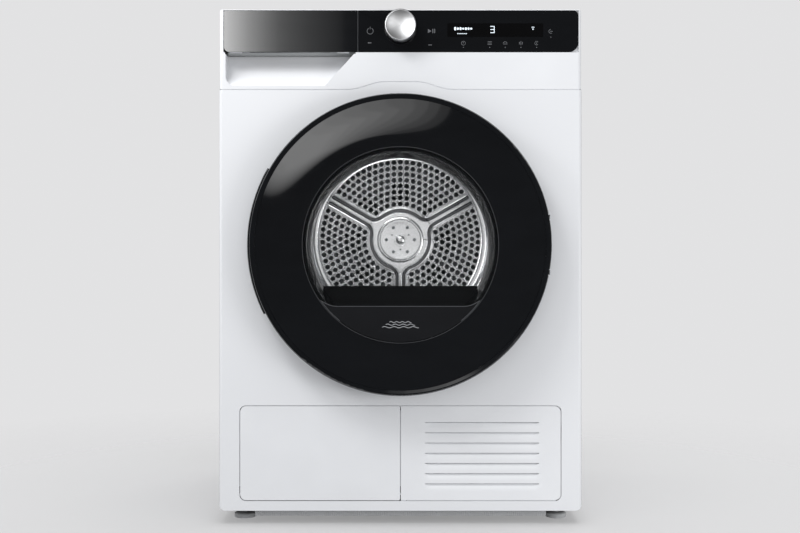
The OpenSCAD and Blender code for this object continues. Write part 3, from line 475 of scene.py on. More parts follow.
class Trim(Enum):
    """The dryer's finishes, one for each material of the record, and some prints."""

    ENAMEL = Enamel("white_enamel")
    WHITE = Moulded("white_plastic", (0.80, 0.815, 0.84), 0.36, 700.0, 0.03)
    WORKTOP = Moulded("worktop_laminate", (0.80, 0.81, 0.825), 0.42, 260.0, 0.10)
    GLOSS = Lacquer("gloss_black")
    WINDOW = Glass("window_glass", (0.01, 0.011, 0.012), 0.22)
    # The bowl's side wall is painted dark and opaque: painted shade.
    BOWL = Glass("bowl_glass", (0.02, 0.021, 0.022), 0.05, 0.02, 0.461, 0.1485)
    KNOB = SpunMetal("brushed_aluminium")
    DRUM = Steel("drum_steel", (0.84, 0.85, 0.86), 0.22, 160.0, (1.0, 0.2, 1.0))
    # Dark copy of the drum's steel for the channels of the drum's back: a painted reflection.
    CHANNEL = Steel("drum_steel", (0.16, 0.162, 0.168), 0.24, 160.0, (1.0, 0.2, 1.0))
    BRIGHT = Steel("bright_steel", (0.60, 0.61, 0.63), 0.26)
    ZINC = Steel("galvanised_steel", (0.56, 0.58, 0.60), 0.42, 120.0, (1.0, 1.0, 1.0), 55.0)
    LIFTER = Moulded("lifter_plastic", (0.42, 0.43, 0.45), 0.42)
    GREY = Moulded("grey_plastic", (0.62, 0.63, 0.64), 0.48)
    TANK = Moulded("tank_plastic", (0.72, 0.75, 0.77), 0.40, 300.0, 0.08)
    DARK = Moulded("dark_plastic", (0.016, 0.017, 0.018), 0.42)
    RUBBER = Rubber("black_rubber")
    FOOT = Moulded("foot_plastic", (0.52, 0.53, 0.54), 0.5)
    COPPER = Steel("copper_tube", (0.78, 0.38, 0.24), 0.30)
    FINS = Steel("aluminium_fins", (0.72, 0.73, 0.74), 0.34, 400.0, (1.0, 1.0, 6.0))
    BOARD = Moulded("circuit_board", (0.02, 0.13, 0.055), 0.38)
    COMPRESSOR = Moulded("compressor_paint", (0.02, 0.02, 0.022), 0.32, 500.0, 0.18)
    MOTOR = Steel("motor_steel", (0.32, 0.34, 0.36), 0.45, 90.0)
    BLUE = Moulded("blue_plastic", (0.03, 0.13, 0.40), 0.40)
    SCREEN = Lacquer("gloss_black", (0.0015, 0.0015, 0.0018), 0.10)
    PANEL = Lacquer("gloss_black", (0.010, 0.0105, 0.012), 0.16)
    INK = Print("gloss_black", (0.15, 0.155, 0.165))
    LIT = Glow("gloss_black")
    LINE = Print("gloss_black", (0.05, 0.052, 0.056), 0.3)
    RULE = Print("gloss_black", (0.13, 0.135, 0.145), 0.3)
    MARK = Print("gloss_black", (0.45, 0.46, 0.48))


# ---------------------------------------------------------------- mesh tools


def place(
    name: str,
    mesh: bpy.types.Mesh,
    trim: Trim,
    body: str,
    replaces: Sequence[str] = (),
    smooth_angle: float = 35.0,
) -> bpy.types.Object:
    """Puts a finished mesh in the scene as a piece of the dryer.

    Args:
        name: the piece's name.
        mesh: its mesh, in the row frame.
        trim: its finish.
        body: the CAD body that it rides on.
        replaces: CAD nodes that it stands for.
        smooth_angle: edges flatter than this, in degrees, are shaded smooth.

    Returns:
        The new object.
    """
    piece = bpy.data.objects.new(name, mesh)
    bpy.context.scene.collection.objects.link(piece)
    mesh.materials.clear()
    mesh.materials.append(trim.value.material(trim.name.lower()))
    for polygon in mesh.polygons:
        polygon.use_smooth = True
    mesh.set_sharp_from_angle(angle=math.radians(smooth_angle))
    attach(piece, body)
    if replaces:
        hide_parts(*replaces)
    return piece


def mesh_from(name: str, build: Builder) -> bpy.types.Mesh:
    """Makes a mesh with a function that fills a bmesh.

    Args:
        name: the mesh's name.
        build: fills the bmesh.

    Returns:
        The mesh, with its normals turned outwards.
    """
    work = bmesh.new()
    build(work)
    bmesh.ops.recalc_face_normals(work, faces=work.faces)
    mesh = bpy.data.meshes.new(name)
    work.to_mesh(mesh)
    work.free()
    return mesh


def lathe(
    profile: Sequence[Point],
    x: float,
    z: float,
    steps: int = 192,
    start: float = 0.0,
    sweep: float = 360.0,
    closed: bool = True,
) -> Builder:
    """A closed profile of (radius, y) points turned about an axis along Y.

    Args:
        profile: the outline, in order.
        x: the axis's X.
        z: the axis's Z.
        steps: segments of the turn.
        start: first angle in degrees, from +X towards +Z.
        sweep: angle turned through.
        closed: join the last point of the profile to the first.

    Returns:
        A function that fills a bmesh.
    """
    whole = abs(sweep - 360.0) < 1e-6

    def build(work: bmesh.types.BMesh) -> None:
        """Adds the rings and the faces between them."""
        rings = []
        for i in range(steps if whole else steps + 1):
            a = math.radians(start + sweep * i / steps)
            rings.append([work.verts.new((x + r * math.cos(a), y, z + r * math.sin(a))) for r, y in profile])
        count = len(profile)
        for i in range(steps):
            here, there = rings[i], rings[(i + 1) % len(rings)]
            for j in range(count if closed else count - 1):
                k = (j + 1) % count
                if profile[j][0] < 1e-9 and profile[k][0] < 1e-9:
                    continue
                work.faces.new((here[j], here[k], there[k], there[j]))
        if not whole and closed:
            work.faces.new(rings[0])
            work.faces.new(list(reversed(rings[-1])))
        bmesh.ops.remove_doubles(work, verts=work.verts, dist=1e-7)
        bmesh.ops.dissolve_degenerate(work, dist=1e-7, edges=work.edges)

    return build


def prism(outline: Sequence[Point], y0: float, y1: float, bevel: float = 0.0) -> Builder:
    """A flat outline of (x, z) points made into a plate between y0 and y1.

    Args:
        outline: the points, counter-clockwise seen from the front.
        y0: the front.
        y1: the back.
        bevel: rounding of the front and back edges.

    Returns:
        A function that fills a bmesh.
    """

    def build(work: bmesh.types.BMesh) -> None:
        """Adds both faces and the wall between them."""
        front = [work.verts.new((x, y0, z)) for x, z in outline]
        back = [work.verts.new((x, y1, z)) for x, z in outline]
        count = len(outline)
        faces = [work.faces.new(front), work.faces.new(list(reversed(back)))]
        for i in range(count):
            j = (i + 1) % count
            work.faces.new((front[j], front[i], back[i], back[j]))
        if bevel:
            rims = {edge for face in faces for edge in face.edges}
            bmesh.ops.bevel(work, geom=list(rims), offset=bevel, segments=3, profile=0.6, affect="EDGES")

    return build


def rounded(x0: float, x1: float, z0: float, z1: float, radii: Sequence[float],
            steps: int = 8) -> list[Point]:
    """A rectangle with its corners rounded.

    Args:
        x0: left side.
        x1: right side.
        z0: lower side.
        z1: upper side.
        radii: corner radii: lower left, lower right, upper right, upper left.
        steps: segments of each corner.

    Returns:
        Its points, counter-clockwise seen from the front.
    """
    corners = ((x0, z0, 180), (x1, z0, 270), (x1, z1, 0), (x0, z1, 90))
    points: list[Point] = []
    for (x, z, first), r in zip(corners, radii):
        cx = x + r if x == x0 else x - r
        cz = z + r if z == z0 else z - r
        for i in range(steps + 1):
            a = math.radians(first + 90 * i / steps)
            points.append((cx + r * math.cos(a), cz + r * math.sin(a)))
    return points


def join(*builders: Builder) -> Builder:
    """Several builders as one."""

    def build(work: bmesh.types.BMesh) -> None:
        """Runs them in turn."""
        for builder in builders:
            builder(work)

    return build


def tube(path: Sequence[Vector], radius: float, sides: int = 10, closed: bool = False) -> Builder:
    """A round bar along a path.

    Args:
        path: its points.
        radius: radius of the bar.
        sides: facets round it.
        closed: join the last point to the first.

    Returns:
        A function that fills a bmesh.
    """

    def build(work: bmesh.types.BMesh) -> None:
        """Adds a ring at every point and joins them."""
        count = len(path)
        rings = []
        up = Vector((0.0, 1.0, 0.0))
        for i, point in enumerate(path):
            before = path[i - 1] if i or closed else point
            after = path[(i + 1) % count] if i < count - 1 or closed else point
            along = (after - before).normalized()
            side = along.cross(up).normalized() if abs(along.dot(up)) < 0.99 else Vector((1.0, 0.0, 0.0))
            over = side.cross(along)
            rings.append(
                [
                    work.verts.new(point + (side * math.cos(a) + over * math.sin(a)) * radius)
                    for a in (math.tau * k / sides for k in range(sides))
                ]
            )
        for i in range(count if closed else count - 1):
            here, there = rings[i], rings[(i + 1) % count]
            for k in range(sides):
                work.faces.new((here[k], here[(k + 1) % sides], there[(k + 1) % sides], there[k]))
        if not closed:
            work.faces.new(list(reversed(rings[0])))
            work.faces.new(rings[-1])

    return build


def softened(node: str, trim: Trim, width: float, angle: float = 30.0, segments: int = 2) -> bpy.types.Object:
    """A copy of a CAD node whose sharp edges are rounded, which stands for it.

    Args:
        node: the CAD node.
        trim: its finish.
        width: radius of the rounding.
        angle: edges sharper than this, in degrees, are rounded.
        segments: segments of the rounding.

    Returns:
        The new object.
    """
    work = bmesh.new()
    work.from_mesh(frame["nodes"][node].data)
    bmesh.ops.remove_doubles(work, verts=work.verts, dist=2e-6)
    bmesh.ops.dissolve_limit(work, angle_limit=math.radians(0.6), verts=work.verts, edges=work.edges)
    mesh = bpy.data.meshes.new(f"{node}_soft")
    work.to_mesh(mesh)
    work.free()
    piece = place(f"{node}_shell", mesh, trim, body_of(node), (node,), 40.0)
    rounding = piece.modifiers.new("rounding", "BEVEL")
    rounding.width = width
    rounding.segments = segments
    rounding.limit_method = "ANGLE"
    rounding.angle_limit = math.radians(angle)
    rounding.harden_normals = True
    rounding.use_clamp_overlap = True
    return piece


def body_of(node: str) -> str:
    """The body that a CAD node rides on."""
    for body, members in frame["record"]["behaviour"]["bodies"].items():
        if node in members:
            return body
    raise KeyError(node)


def dress(trim: Trim, *nodes: str, angle: float = 32.0) -> None:
    """Gives carried-over CAD nodes their finish and smooth shading.

    Args:
        trim: the finish.
        *nodes: the nodes.
        angle: edges flatter than this, in degrees, are shaded smooth.
    """
    for node in nodes:
        mesh = frame["nodes"][node].data
        mesh.materials.clear()
        mesh.materials.append(trim.value.material(trim.name.lower()))
        for polygon in mesh.polygons:
            polygon.use_smooth = True
        mesh.set_sharp_from_angle(angle=math.radians(angle))


# ---------------------------------------------------------------- cabinet


@dataclass
class Cabinet:
    """The painted steel case, its plastic fascia, worktop, plinth and feet."""

    panel_edge: float = 1.2 * MM
    fascia_edge: float = 2.4 * MM
    worktop_edge: float = 2.0 * MM
    plinth_half_w: float = 242 * MM
    plinth_y: float = -262.5 * MM
    plinth_z: Point = (11 * MM, 22.5 * MM)
    rib_pitch: float = 3.2 * MM
    rib_depth: float = 1.0 * MM

    def shell(self) -> None:
        """Outer panels, with their folded edges rounded."""
        for node in ("front_panel", "side_panel_left", "side_panel_right", "rear_panel"):
            softened(node, Trim.ENAMEL if node != "rear_panel" else Trim.ZINC, self.panel_edge)
        softened("fascia", Trim.WHITE, self.fascia_edge, 40.0, 3)
        softened("worktop", Trim.WORKTOP, self.worktop_edge, 30.0, 3)
        softened("rear_duct_cover", Trim.ZINC, 3.0 * MM, 30.0, 3)
        softened("exchanger_cover", Trim.GREY, 1.0 * MM)

    def plinth(self) -> None:
        """The ribbed face of the base under the front panel."""
        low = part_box("base_tray")[0]
        outline: list[Point] = []
        count = int(2 * self.plinth_half_w / self.rib_pitch)
        step = 2 * self.plinth_half_w / count
        for i in range(count):
            x = -self.plinth_half_w + i * step
            outline += [(x, self.plinth_y), (x + step * 0.35, self.plinth_y - self.rib_depth),
                        (x + step * 0.65, self.plinth_y - self.rib_depth)]
        outline += [(self.plinth_half_w, self.plinth_y), (self.plinth_half_w, low.y + 2 * MM),
                    (-self.plinth_half_w, low.y + 2 * MM)]
        z0, z1 = self.plinth_z

        def build(work: bmesh.types.BMesh) -> None:
            """Adds the ribbed bar, upright ribs side by side."""
            lower = [work.verts.new((x, y, z0)) for x, y in outline]
            upper = [work.verts.new((x, y, z1)) for x, y in outline]
            work.faces.new(list(reversed(lower)))
            work.faces.new(upper)
            for i in range(len(outline)):
                j = (i + 1) % len(outline)
                work.faces.new((lower[i], lower[j], upper[j], upper[i]))

        place("plinth_ribs", mesh_from("plinth_ribs", build), Trim.FOOT, BODY)

    def seam_lip(self) -> None:
        """The pale lip behind the seam between the fascia and the front panel."""
        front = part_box("front_panel")[0].y
        half_flat, slope, rise, level, half = 25 * MM, 63 * MM, 13 * MM, 718.5 * MM, 2.2 * MM
        reach = half_flat + slope
        xs = [-296 * MM] + [-reach + reach * k / 12 for k in range(25)] + [296 * MM]

        def seam(x: float) -> float:
            """Height of the seam."""
            u = min(1.0, max(0.0, (half_flat + slope - abs(x)) / slope))
            return level + rise * (1 - math.cos(math.pi * u)) / 2

        outline = [(x, seam(x) - half) for x in xs] + [(x, seam(x) + half) for x in reversed(xs)]
        place("fascia_seam_lip",
              mesh_from("fascia_seam_lip", prism(outline, front + 1.1 * MM, front + 2.0 * MM)),
              Trim.WHITE, BODY)

    def feet(self) -> None:
        """Levelling feet with a ribbed grip and a rounded pad."""
        for name in ("foot_front_left", "foot_front_right", "foot_rear_left", "foot_rear_right"):
            softened(name, Trim.FOOT, 1.2 * MM, 30.0, 3)

    def build(self) -> None:
        """Makes the whole case."""
        self.shell()
        self.seam_lip()
        self.plinth()
        self.feet()
        log.info("cabinet")


@dataclass
class ServicePanel:
    """The flap and the fixed grille with its louvres."""

    slot_x: Point = (41 * MM, 229 * MM)
    first_slot_z: float = 167.5 * MM
    pitch: float = 16.85 * MM
    count: int = 7
    slot_h: float = 1.2 * MM
    scoop_h: float = 11.0 * MM
    scoop_depth: float = 3.0 * MM
    pin_y: float = -273.5 * MM
    pin_z: float = 49.0 * MM
    columns: int = 48
    corner: float = 9.8 * MM

    def face_depth(self, x: float, z: float) -> float:
        """How far the grille's face lies behind its front plane.

        Args:
            x: place across.
            z: height.

        Returns:
            The depth of the soft scoop under each slot.
        """
        across = min(1.0, max(0.0, min(x - self.slot_x[0], self.slot_x[1] - x) / (6 * MM)))
        for i in range(self.count):
            below = self.first_slot_z - i * self.pitch - self.slot_h / 2 - z
            if 0 <= below <= self.scoop_h:
                fade = 1 - below / self.scoop_h
                return self.scoop_depth * fade * fade * across * across * (3 - 2 * across)
        return 0.0

    def grille(self) -> None:
        """The grille's face: a grid with open slots and a scooped lip under each."""
        low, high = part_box("service_flap")
        x0, x1 = 0.6 * MM, 264.8 * MM
        front, back = low.y, low.y + 5.6 * MM
        slot_edges = []
        for i in range(self.count):
            top = self.first_slot_z - i * self.pitch + self.slot_h / 2
            slot_edges.append((top - self.slot_h, top))
        heights = sorted({low.z + 0.0, high.z} | {z for pair in slot_edges for z in pair}
                         | {pair[0] - self.scoop_h * k / 6 for pair in slot_edges for k in range(1, 7)}
                         | {low.z + self.corner * k / 6 for k in range(1, 7)}
                         | {high.z - self.corner * k / 6 for k in range(1, 7)})
        heights = [z for k, z in enumerate(heights) if k == 0 or z - heights[k - 1] > 0.15 * MM]
        first_x, last_x = self.slot_x
        inner = [first_x + (last_x - first_x) * k / self.columns for k in range(self.columns + 1)]
        outer = [x0, x0 + 12 * MM, x0 + 26 * MM] + inner + [x1 - 26 * MM, x1 - self.corner]
        outer += [x1 - self.corner * (1 - math.sin(math.radians(a))) for a in (30, 50, 68, 90)]

        def right_end(z: float) -> float:
            """The right edge at a height, inside the rounded corners."""
            near = max(0.0, self.corner - min(z - low.z, high.z - z))
            return x1 - self.corner + math.sqrt(max(0.0, self.corner**2 - near**2))

        def build(work: bmesh.types.BMesh) -> None:
            """Adds front and back skins, joined round the rim and the slots."""
            skins = []
            for y in (front, back):
                grid = []
                for z in heights:
                    limit = right_end(z)
                    grid.append([
                        work.verts.new((min(x, limit), y + (self.face_depth(x, z) if y == front else 0.0), z))
                        for x in outer
                    ])
                skins.append(grid)
            for side, grid in enumerate(skins):
                for r in range(len(heights) - 1):
                    middle = (heights[r] + heights[r + 1]) / 2
                    open_row = any(a < middle < b for a, b in slot_edges)
                    for c in range(len(outer) - 1):
                        at = (outer[c] + outer[c + 1]) / 2
                        if open_row and self.slot_x[0] < at < self.slot_x[1]:
                            continue
                        quad = (grid[r][c], grid[r][c + 1], grid[r + 1][c + 1], grid[r + 1][c])
                        work.faces.new(quad if side == 0 else quad[::-1])
            rims = [edge for edge in work.edges if len(edge.link_faces) == 1]
            twin = {}
            for grid, other in ((skins[0], skins[1]),):
                for row, match in zip(grid, other):
                    for a, b in zip(row, match):
                        twin[a] = b
            for edge in rims:
                a, b = edge.verts
                if a in twin and b in twin:
                    face_loop = edge.link_loops[0]
                    first, second = face_loop.vert, face_loop.link_loop_next.vert
                    work.faces.new((second, first, twin[first], twin[second]))
            bmesh.ops.remove_doubles(work, verts=work.verts, dist=2e-5)
            bmesh.ops.dissolve_degenerate(work, dist=1e-6, edges=work.edges)

        place("grille_face", mesh_from("grille_face", build), Trim.WHITE, BODY, ("louvre_grille",), 28.0)

    def carrier(self) -> None:
        """The shade behind the slots, and the bar and sockets that carry the flap's pins."""
        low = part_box("louvre_grille")[0]
        flap_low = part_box("service_flap")[0]
        back = rounded(self.slot_x[0] - 6 * MM, self.slot_x[1] + 6 * MM, 58 * MM, 176 * MM, [4 * MM] * 4)
        place("grille_shade", mesh_from("grille_shade",
                                        prism(back, flap_low.y + 7 * MM, flap_low.y + 9 * MM, 0.4 * MM)),
              Trim.WHITE, BODY)
        axis_z = self.pin_z
        sweep = math.hypot(self.pin_y - flap_low.y, axis_z - flap_low.z)
        rail_z0, rail_z1 = low.z, axis_z - sweep - 0.8 * MM
        blocks = []
        for x0, x1 in ((0.8 * MM, 9.0 * MM), (low.x, low.x + 8.5 * MM)):
            outline = rounded(x0, x1, rail_z0, axis_z + 5 * MM, [1 * MM] * 4, 4)
            blocks.append(prism(outline, flap_low.y + 1.2 * MM, flap_low.y + 15 * MM, 0.5 * MM))
        rail = rounded(low.x, 9.0 * MM, rail_z0, rail_z1, [0.5 * MM] * 4, 2)
        blocks.append(prism(rail, flap_low.y + 4 * MM, flap_low.y + 15 * MM, 0.5 * MM))
        place("grille_sockets", mesh_from("grille_sockets", join(*blocks)), Trim.WHITE, BODY)

    def lips(self) -> None:
        """The pale lips that close the gaps round the flap and the grille from behind."""
        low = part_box("service_flap")[0]
        y0, y1 = low.y + 2.7 * MM, low.y + 3.6 * MM
        left, right, lower, upper = -268 * MM, 268 * MM, 36 * MM, 198 * MM
        inside = 5 * MM
        bars = [
            prism(rounded(left, right, upper - inside - 2 * MM, upper, [1 * MM, 1 * MM, 11 * MM, 11 * MM]),
                  y0, y1),
            prism(rounded(left, left + inside + 2 * MM, 62 * MM, upper - 9 * MM, [1 * MM] * 4), y0, y1),
            prism(rounded(right - inside - 2 * MM, right, lower, upper - 9 * MM,
                          [1 * MM, 11 * MM, 1 * MM, 1 * MM]), y0, y1),
            prism(rounded(10 * MM, right - 8 * MM, lower, lower + inside, [1 * MM] * 4), y0, y1),
            prism(rounded(-4 * MM, 4 * MM, 62 * MM, upper - 9 * MM, [1 * MM] * 4), y0, y1),
        ]
        place("service_panel_lips", mesh_from("service_panel_lips", join(*bars)), Trim.WHITE, BODY)

    def build(self) -> None:
        """Makes the flap and the grille."""
        self.lips()
        softened("service_flap", Trim.WHITE, 1.1 * MM, 35.0, 3)
        self.grille()
        self.carrier()
        log.info("service panel")


# ---------------------------------------------------------------- fascia


@dataclass
class Controls:
    """The black glossy strip with its display, touch marks and knob, and the tank's front."""

    ink: float = 0.12 * MM
    display_x: Point = (77.5 * MM, 236.0 * MM)
    display_z: Point = (804.7 * MM, 827.3 * MM)
    digit_x: float = 152.0 * MM
    digit_z: float = 817.0 * MM
    digit_size: tuple[float, float] = (7.0 * MM, 11.5 * MM)
    icon_x: tuple[float, ...] = (104 * MM, 147.5 * MM, 173 * MM, 199 * MM, 225 * MM)
    icon_z: float = 794.5 * MM
    dot_z: float = 787.5 * MM
    power: Point = (-50 * MM, 814.5 * MM)
    start: Point = (50.6 * MM, 814.5 * MM)

    @property
    def face(self) -> float:
        """Y of the strip's front."""
        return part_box("control_strip")[0].y

    def plate(self, name: str, outline: Sequence[Point], trim: Trim, lift: float = 1.0) -> None:
        """A printed or lit patch on the strip.

        Args:
            name: the piece's name.
            outline: its points.
            trim: its finish.
            lift: thickness in units of the ink's.
        """
        place(name, mesh_from(name, prism(outline, self.face - self.ink * lift, self.face + 0.05 * MM)),
              trim, BODY)

    def ring(self, x: float, z: float, r: float, width: float, start: float = 0.0,
             sweep: float = 360.0) -> Builder:
        """A builder for a thin printed ring or arc."""
        front, back = self.face - self.ink, self.face + 0.05 * MM
        profile = [(r, front), (r + width, front), (r + width, back), (r, back)]
        return lathe(profile, x, z, 40, start, sweep)

    def bar(self, x: float, z: float, w: float, h: float) -> Builder:
        """A builder for a small printed bar centred on a point."""
        r = min(w, h) * 0.3
        outline = rounded(x - w / 2, x + w / 2, z - h / 2, z + h / 2, [r] * 4, 3)
        return prism(outline, self.face - self.ink, self.face + 0.05 * MM)

    def glyphs(self) -> None:
        """Generic touch marks: power, start and pause, and the option keys with their lamps."""
        px, pz = self.power
        sx, sz = self.start
        mm = MM
        ink = [
            self.ring(px, pz, 4.6 * mm, 0.8 * mm, 118, 304),
            self.bar(px, pz + 5.0 * mm, 0.8 * mm, 4.4 * mm),
            prism([(sx - 5.2 * mm, sz - 3.6 * mm), (sx + 0.6 * mm, sz), (sx - 5.2 * mm, sz + 3.6 * mm)],
                  self.face - self.ink, self.face + 0.05 * mm),
            self.bar(sx + 2.9 * mm, sz, 1.5 * mm, 7.0 * mm),
            self.bar(sx + 5.9 * mm, sz, 1.5 * mm, 7.0 * mm),
        ]
        a, b, c, d, e = self.icon_x
        z = self.icon_z
        ink += [self.ring(a, z, 2.9 * mm, 0.7 * mm), self.bar(a, z + 0.9 * mm, 0.7 * mm, 2.6 * mm)]
        ink += [self.bar(b, z + k * 2.3 * mm, 7.0 * mm, 0.8 * mm) for k in (-1, 0, 1)]
        ink += [self.ring(c, z - 1.2 * mm, 3.0 * mm, 0.8 * mm, 20, 140),
                self.bar(c, z - 1.4 * mm, 7.2 * mm, 0.8 * mm)]
        ink += [self.bar(d + k * 2.4 * mm, z, 0.9 * mm, (6.4 - abs(k) * 2.2) * mm) for k in (-1, 0, 1)]
        ink += [self.ring(e, z, 2.6 * mm, 0.7 * mm, 40, 280), self.ring(e, z, 0.0, 0.9 * mm)]
        ink += [self.ring(248.5 * mm, 814 * mm, 2.8 * mm, 0.8 * mm, 100, 200),
                self.bar(249.5 * mm, 814 * mm, 4.2 * mm, 0.9 * mm)]
        place("touch_marks", mesh_from("touch_marks", join(*ink)), Trim.INK, BODY)
        lamps = [self.ring(x, self.dot_z, 0.0, 0.8 * mm) for x in self.icon_x]
        lamps += [self.ring(248.5 * mm, 804.5 * mm, 0.0, 0.8 * mm)]
        place("option_lamps", mesh_from("option_lamps", join(*lamps)), Trim.INK, BODY)
        keys = [self.bar(px - 1.0 * mm, 795 * mm, 6.0 * mm, 1.5 * mm),
                self.bar(sx - 1.5 * mm, 791.5 * mm, 6.0 * mm, 1.5 * mm)]
        place("key_lamps", mesh_from("key_lamps", join(*keys)), Trim.INK, BODY)

    def display(self) -> None:
        """The black window of the display with lit generic segments."""
        self.plate("display_window", rounded(*self.display_x, *self.display_z, [0.8 * MM] * 4, 3),
                   Trim.SCREEN, 0.6)
        w, h = self.digit_size
        x, z = self.digit_x, self.digit_z
        stroke = 1.1 * MM
        lit = [self.bar(x, z + k * (h - stroke) / 2, w, stroke) for k in (-1, 0, 1)]
        lit += [self.bar(x + (w - stroke) / 2, z + k * h / 4, stroke, h / 2) for k in (-1, 1)]
        lit += [self.bar((90.5 + 4.4 * k) * MM, 818.4 * MM, 3.2 * MM, h0 * MM) for k,
                h0 in enumerate((5.4, 3.6, 4.6, 3.0, 4.0, 3.6, 3.0))]
        lit += [self.bar((95 + 3.4 * k) * MM, 810.2 * MM, 2.4 * MM, 1.2 * MM) for k in range(5)]
        lit += [self.ring(219 * MM, 817.5 * MM, 0.0, 1.0 * MM)]
        lit += [self.ring(219 * MM, 817.5 * MM, r * MM, 0.6 * MM, 50, 80) for r in (2.0, 3.5)]
        place("display_segments", mesh_from("display_segments", join(*lit)), Trim.LIT, BODY)

    def trims(self) -> None:
        """The pale line between the strip and the tank's front, and the tabs under its ends."""
        tank_low, tank_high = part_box("tank_front")
        strip_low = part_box("control_strip")[0]
        gap = (tank_high.x + strip_low.x) / 2
        line = rounded(gap - 1.4 * MM, gap + 1.4 * MM, strip_low.z + 1 * MM, tank_high.z - 1 * MM,
                       [0.5 * MM] * 4, 2)
        place("strip_gap_line",
              mesh_from("strip_gap_line", prism(line, self.face + 1.2 * MM, self.face + 1.9 * MM)),
              Trim.RULE, BODY)
        tabs = []
        for x0, x1 in ((tank_low.x + 9 * MM, tank_low.x + 30 * MM),
                       (tank_high.x - 34 * MM, tank_high.x - 14 * MM)):
            outline = rounded(x0, x1, tank_low.z - 0.4 * MM, tank_low.z + 0.4 * MM, [0.3 * MM] * 4, 3)
            tabs.append(prism(outline, tank_low.y + 2.0 * MM, tank_low.y + 9.0 * MM, 0.1 * MM))
        place("tank_grip_tabs", mesh_from("tank_grip_tabs", join(*tabs)), Trim.WHITE, "tank")

    def knob(self) -> None:
        """The turned aluminium knob: a dished face inside a raised edge, over a plain skirt."""
        low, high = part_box("knob")
        x, z = (low.x + high.x) / 2, (low.z + high.z) / 2
        r, front, back = (high.x - low.x) / 2, low.y, self.face - 0.8 * MM
        mm = MM
        profile = [(0.0, front + 2.3 * mm), (r - 4.0 * mm, front + 1.0 * mm),
                   (r - 2.6 * mm, front + 0.2 * mm),
                   (r - 1.7 * mm, front), (r - 0.7 * mm, front + 0.3 * mm), (r - 0.1 * mm, front + 1.1 * mm),
                   (r, front + 2.2 * mm), (r, back - 1.4 * mm), (r - 0.5 * mm, back - 0.4 * mm),
                   (r - 1.4 * mm, back),
                   (3.0 * mm, back), (3.0 * mm, high.y - 0.3 * mm), (2.7 * mm, high.y), (0.0, high.y)]
        place("knob_turned", mesh_from("knob_turned", lathe(profile, x, z, 160)), Trim.KNOB, "knob",
              ("knob",), 50.0)
        collar = [(r - 1.0 * mm, self.face - 0.7 * mm), (r + 1.3 * mm, self.face - 0.7 * mm),
                  (r + 1.9 * mm, self.face), (r - 1.0 * mm, self.face)]
        place("knob_collar", mesh_from("knob_collar", lathe(collar, x, z, 128)), Trim.SCREEN, BODY)

    def build(self) -> None:
        """Makes the strip, the tank's front and everything on them."""
        softened("control_strip", Trim.GLOSS, 0.9 * MM, 30.0, 3)
        softened("tank_front", Trim.GLOSS, 0.9 * MM, 30.0, 3)
        softened("tank_bottle", Trim.TANK, 2.5 * MM, 30.0, 3)
        softened("tank_bay", Trim.GREY, 0.8 * MM)
        self.glyphs()
        self.display()
        self.knob()
        self.trims()
        log.info("controls")


# ---------------------------------------------------------------- door


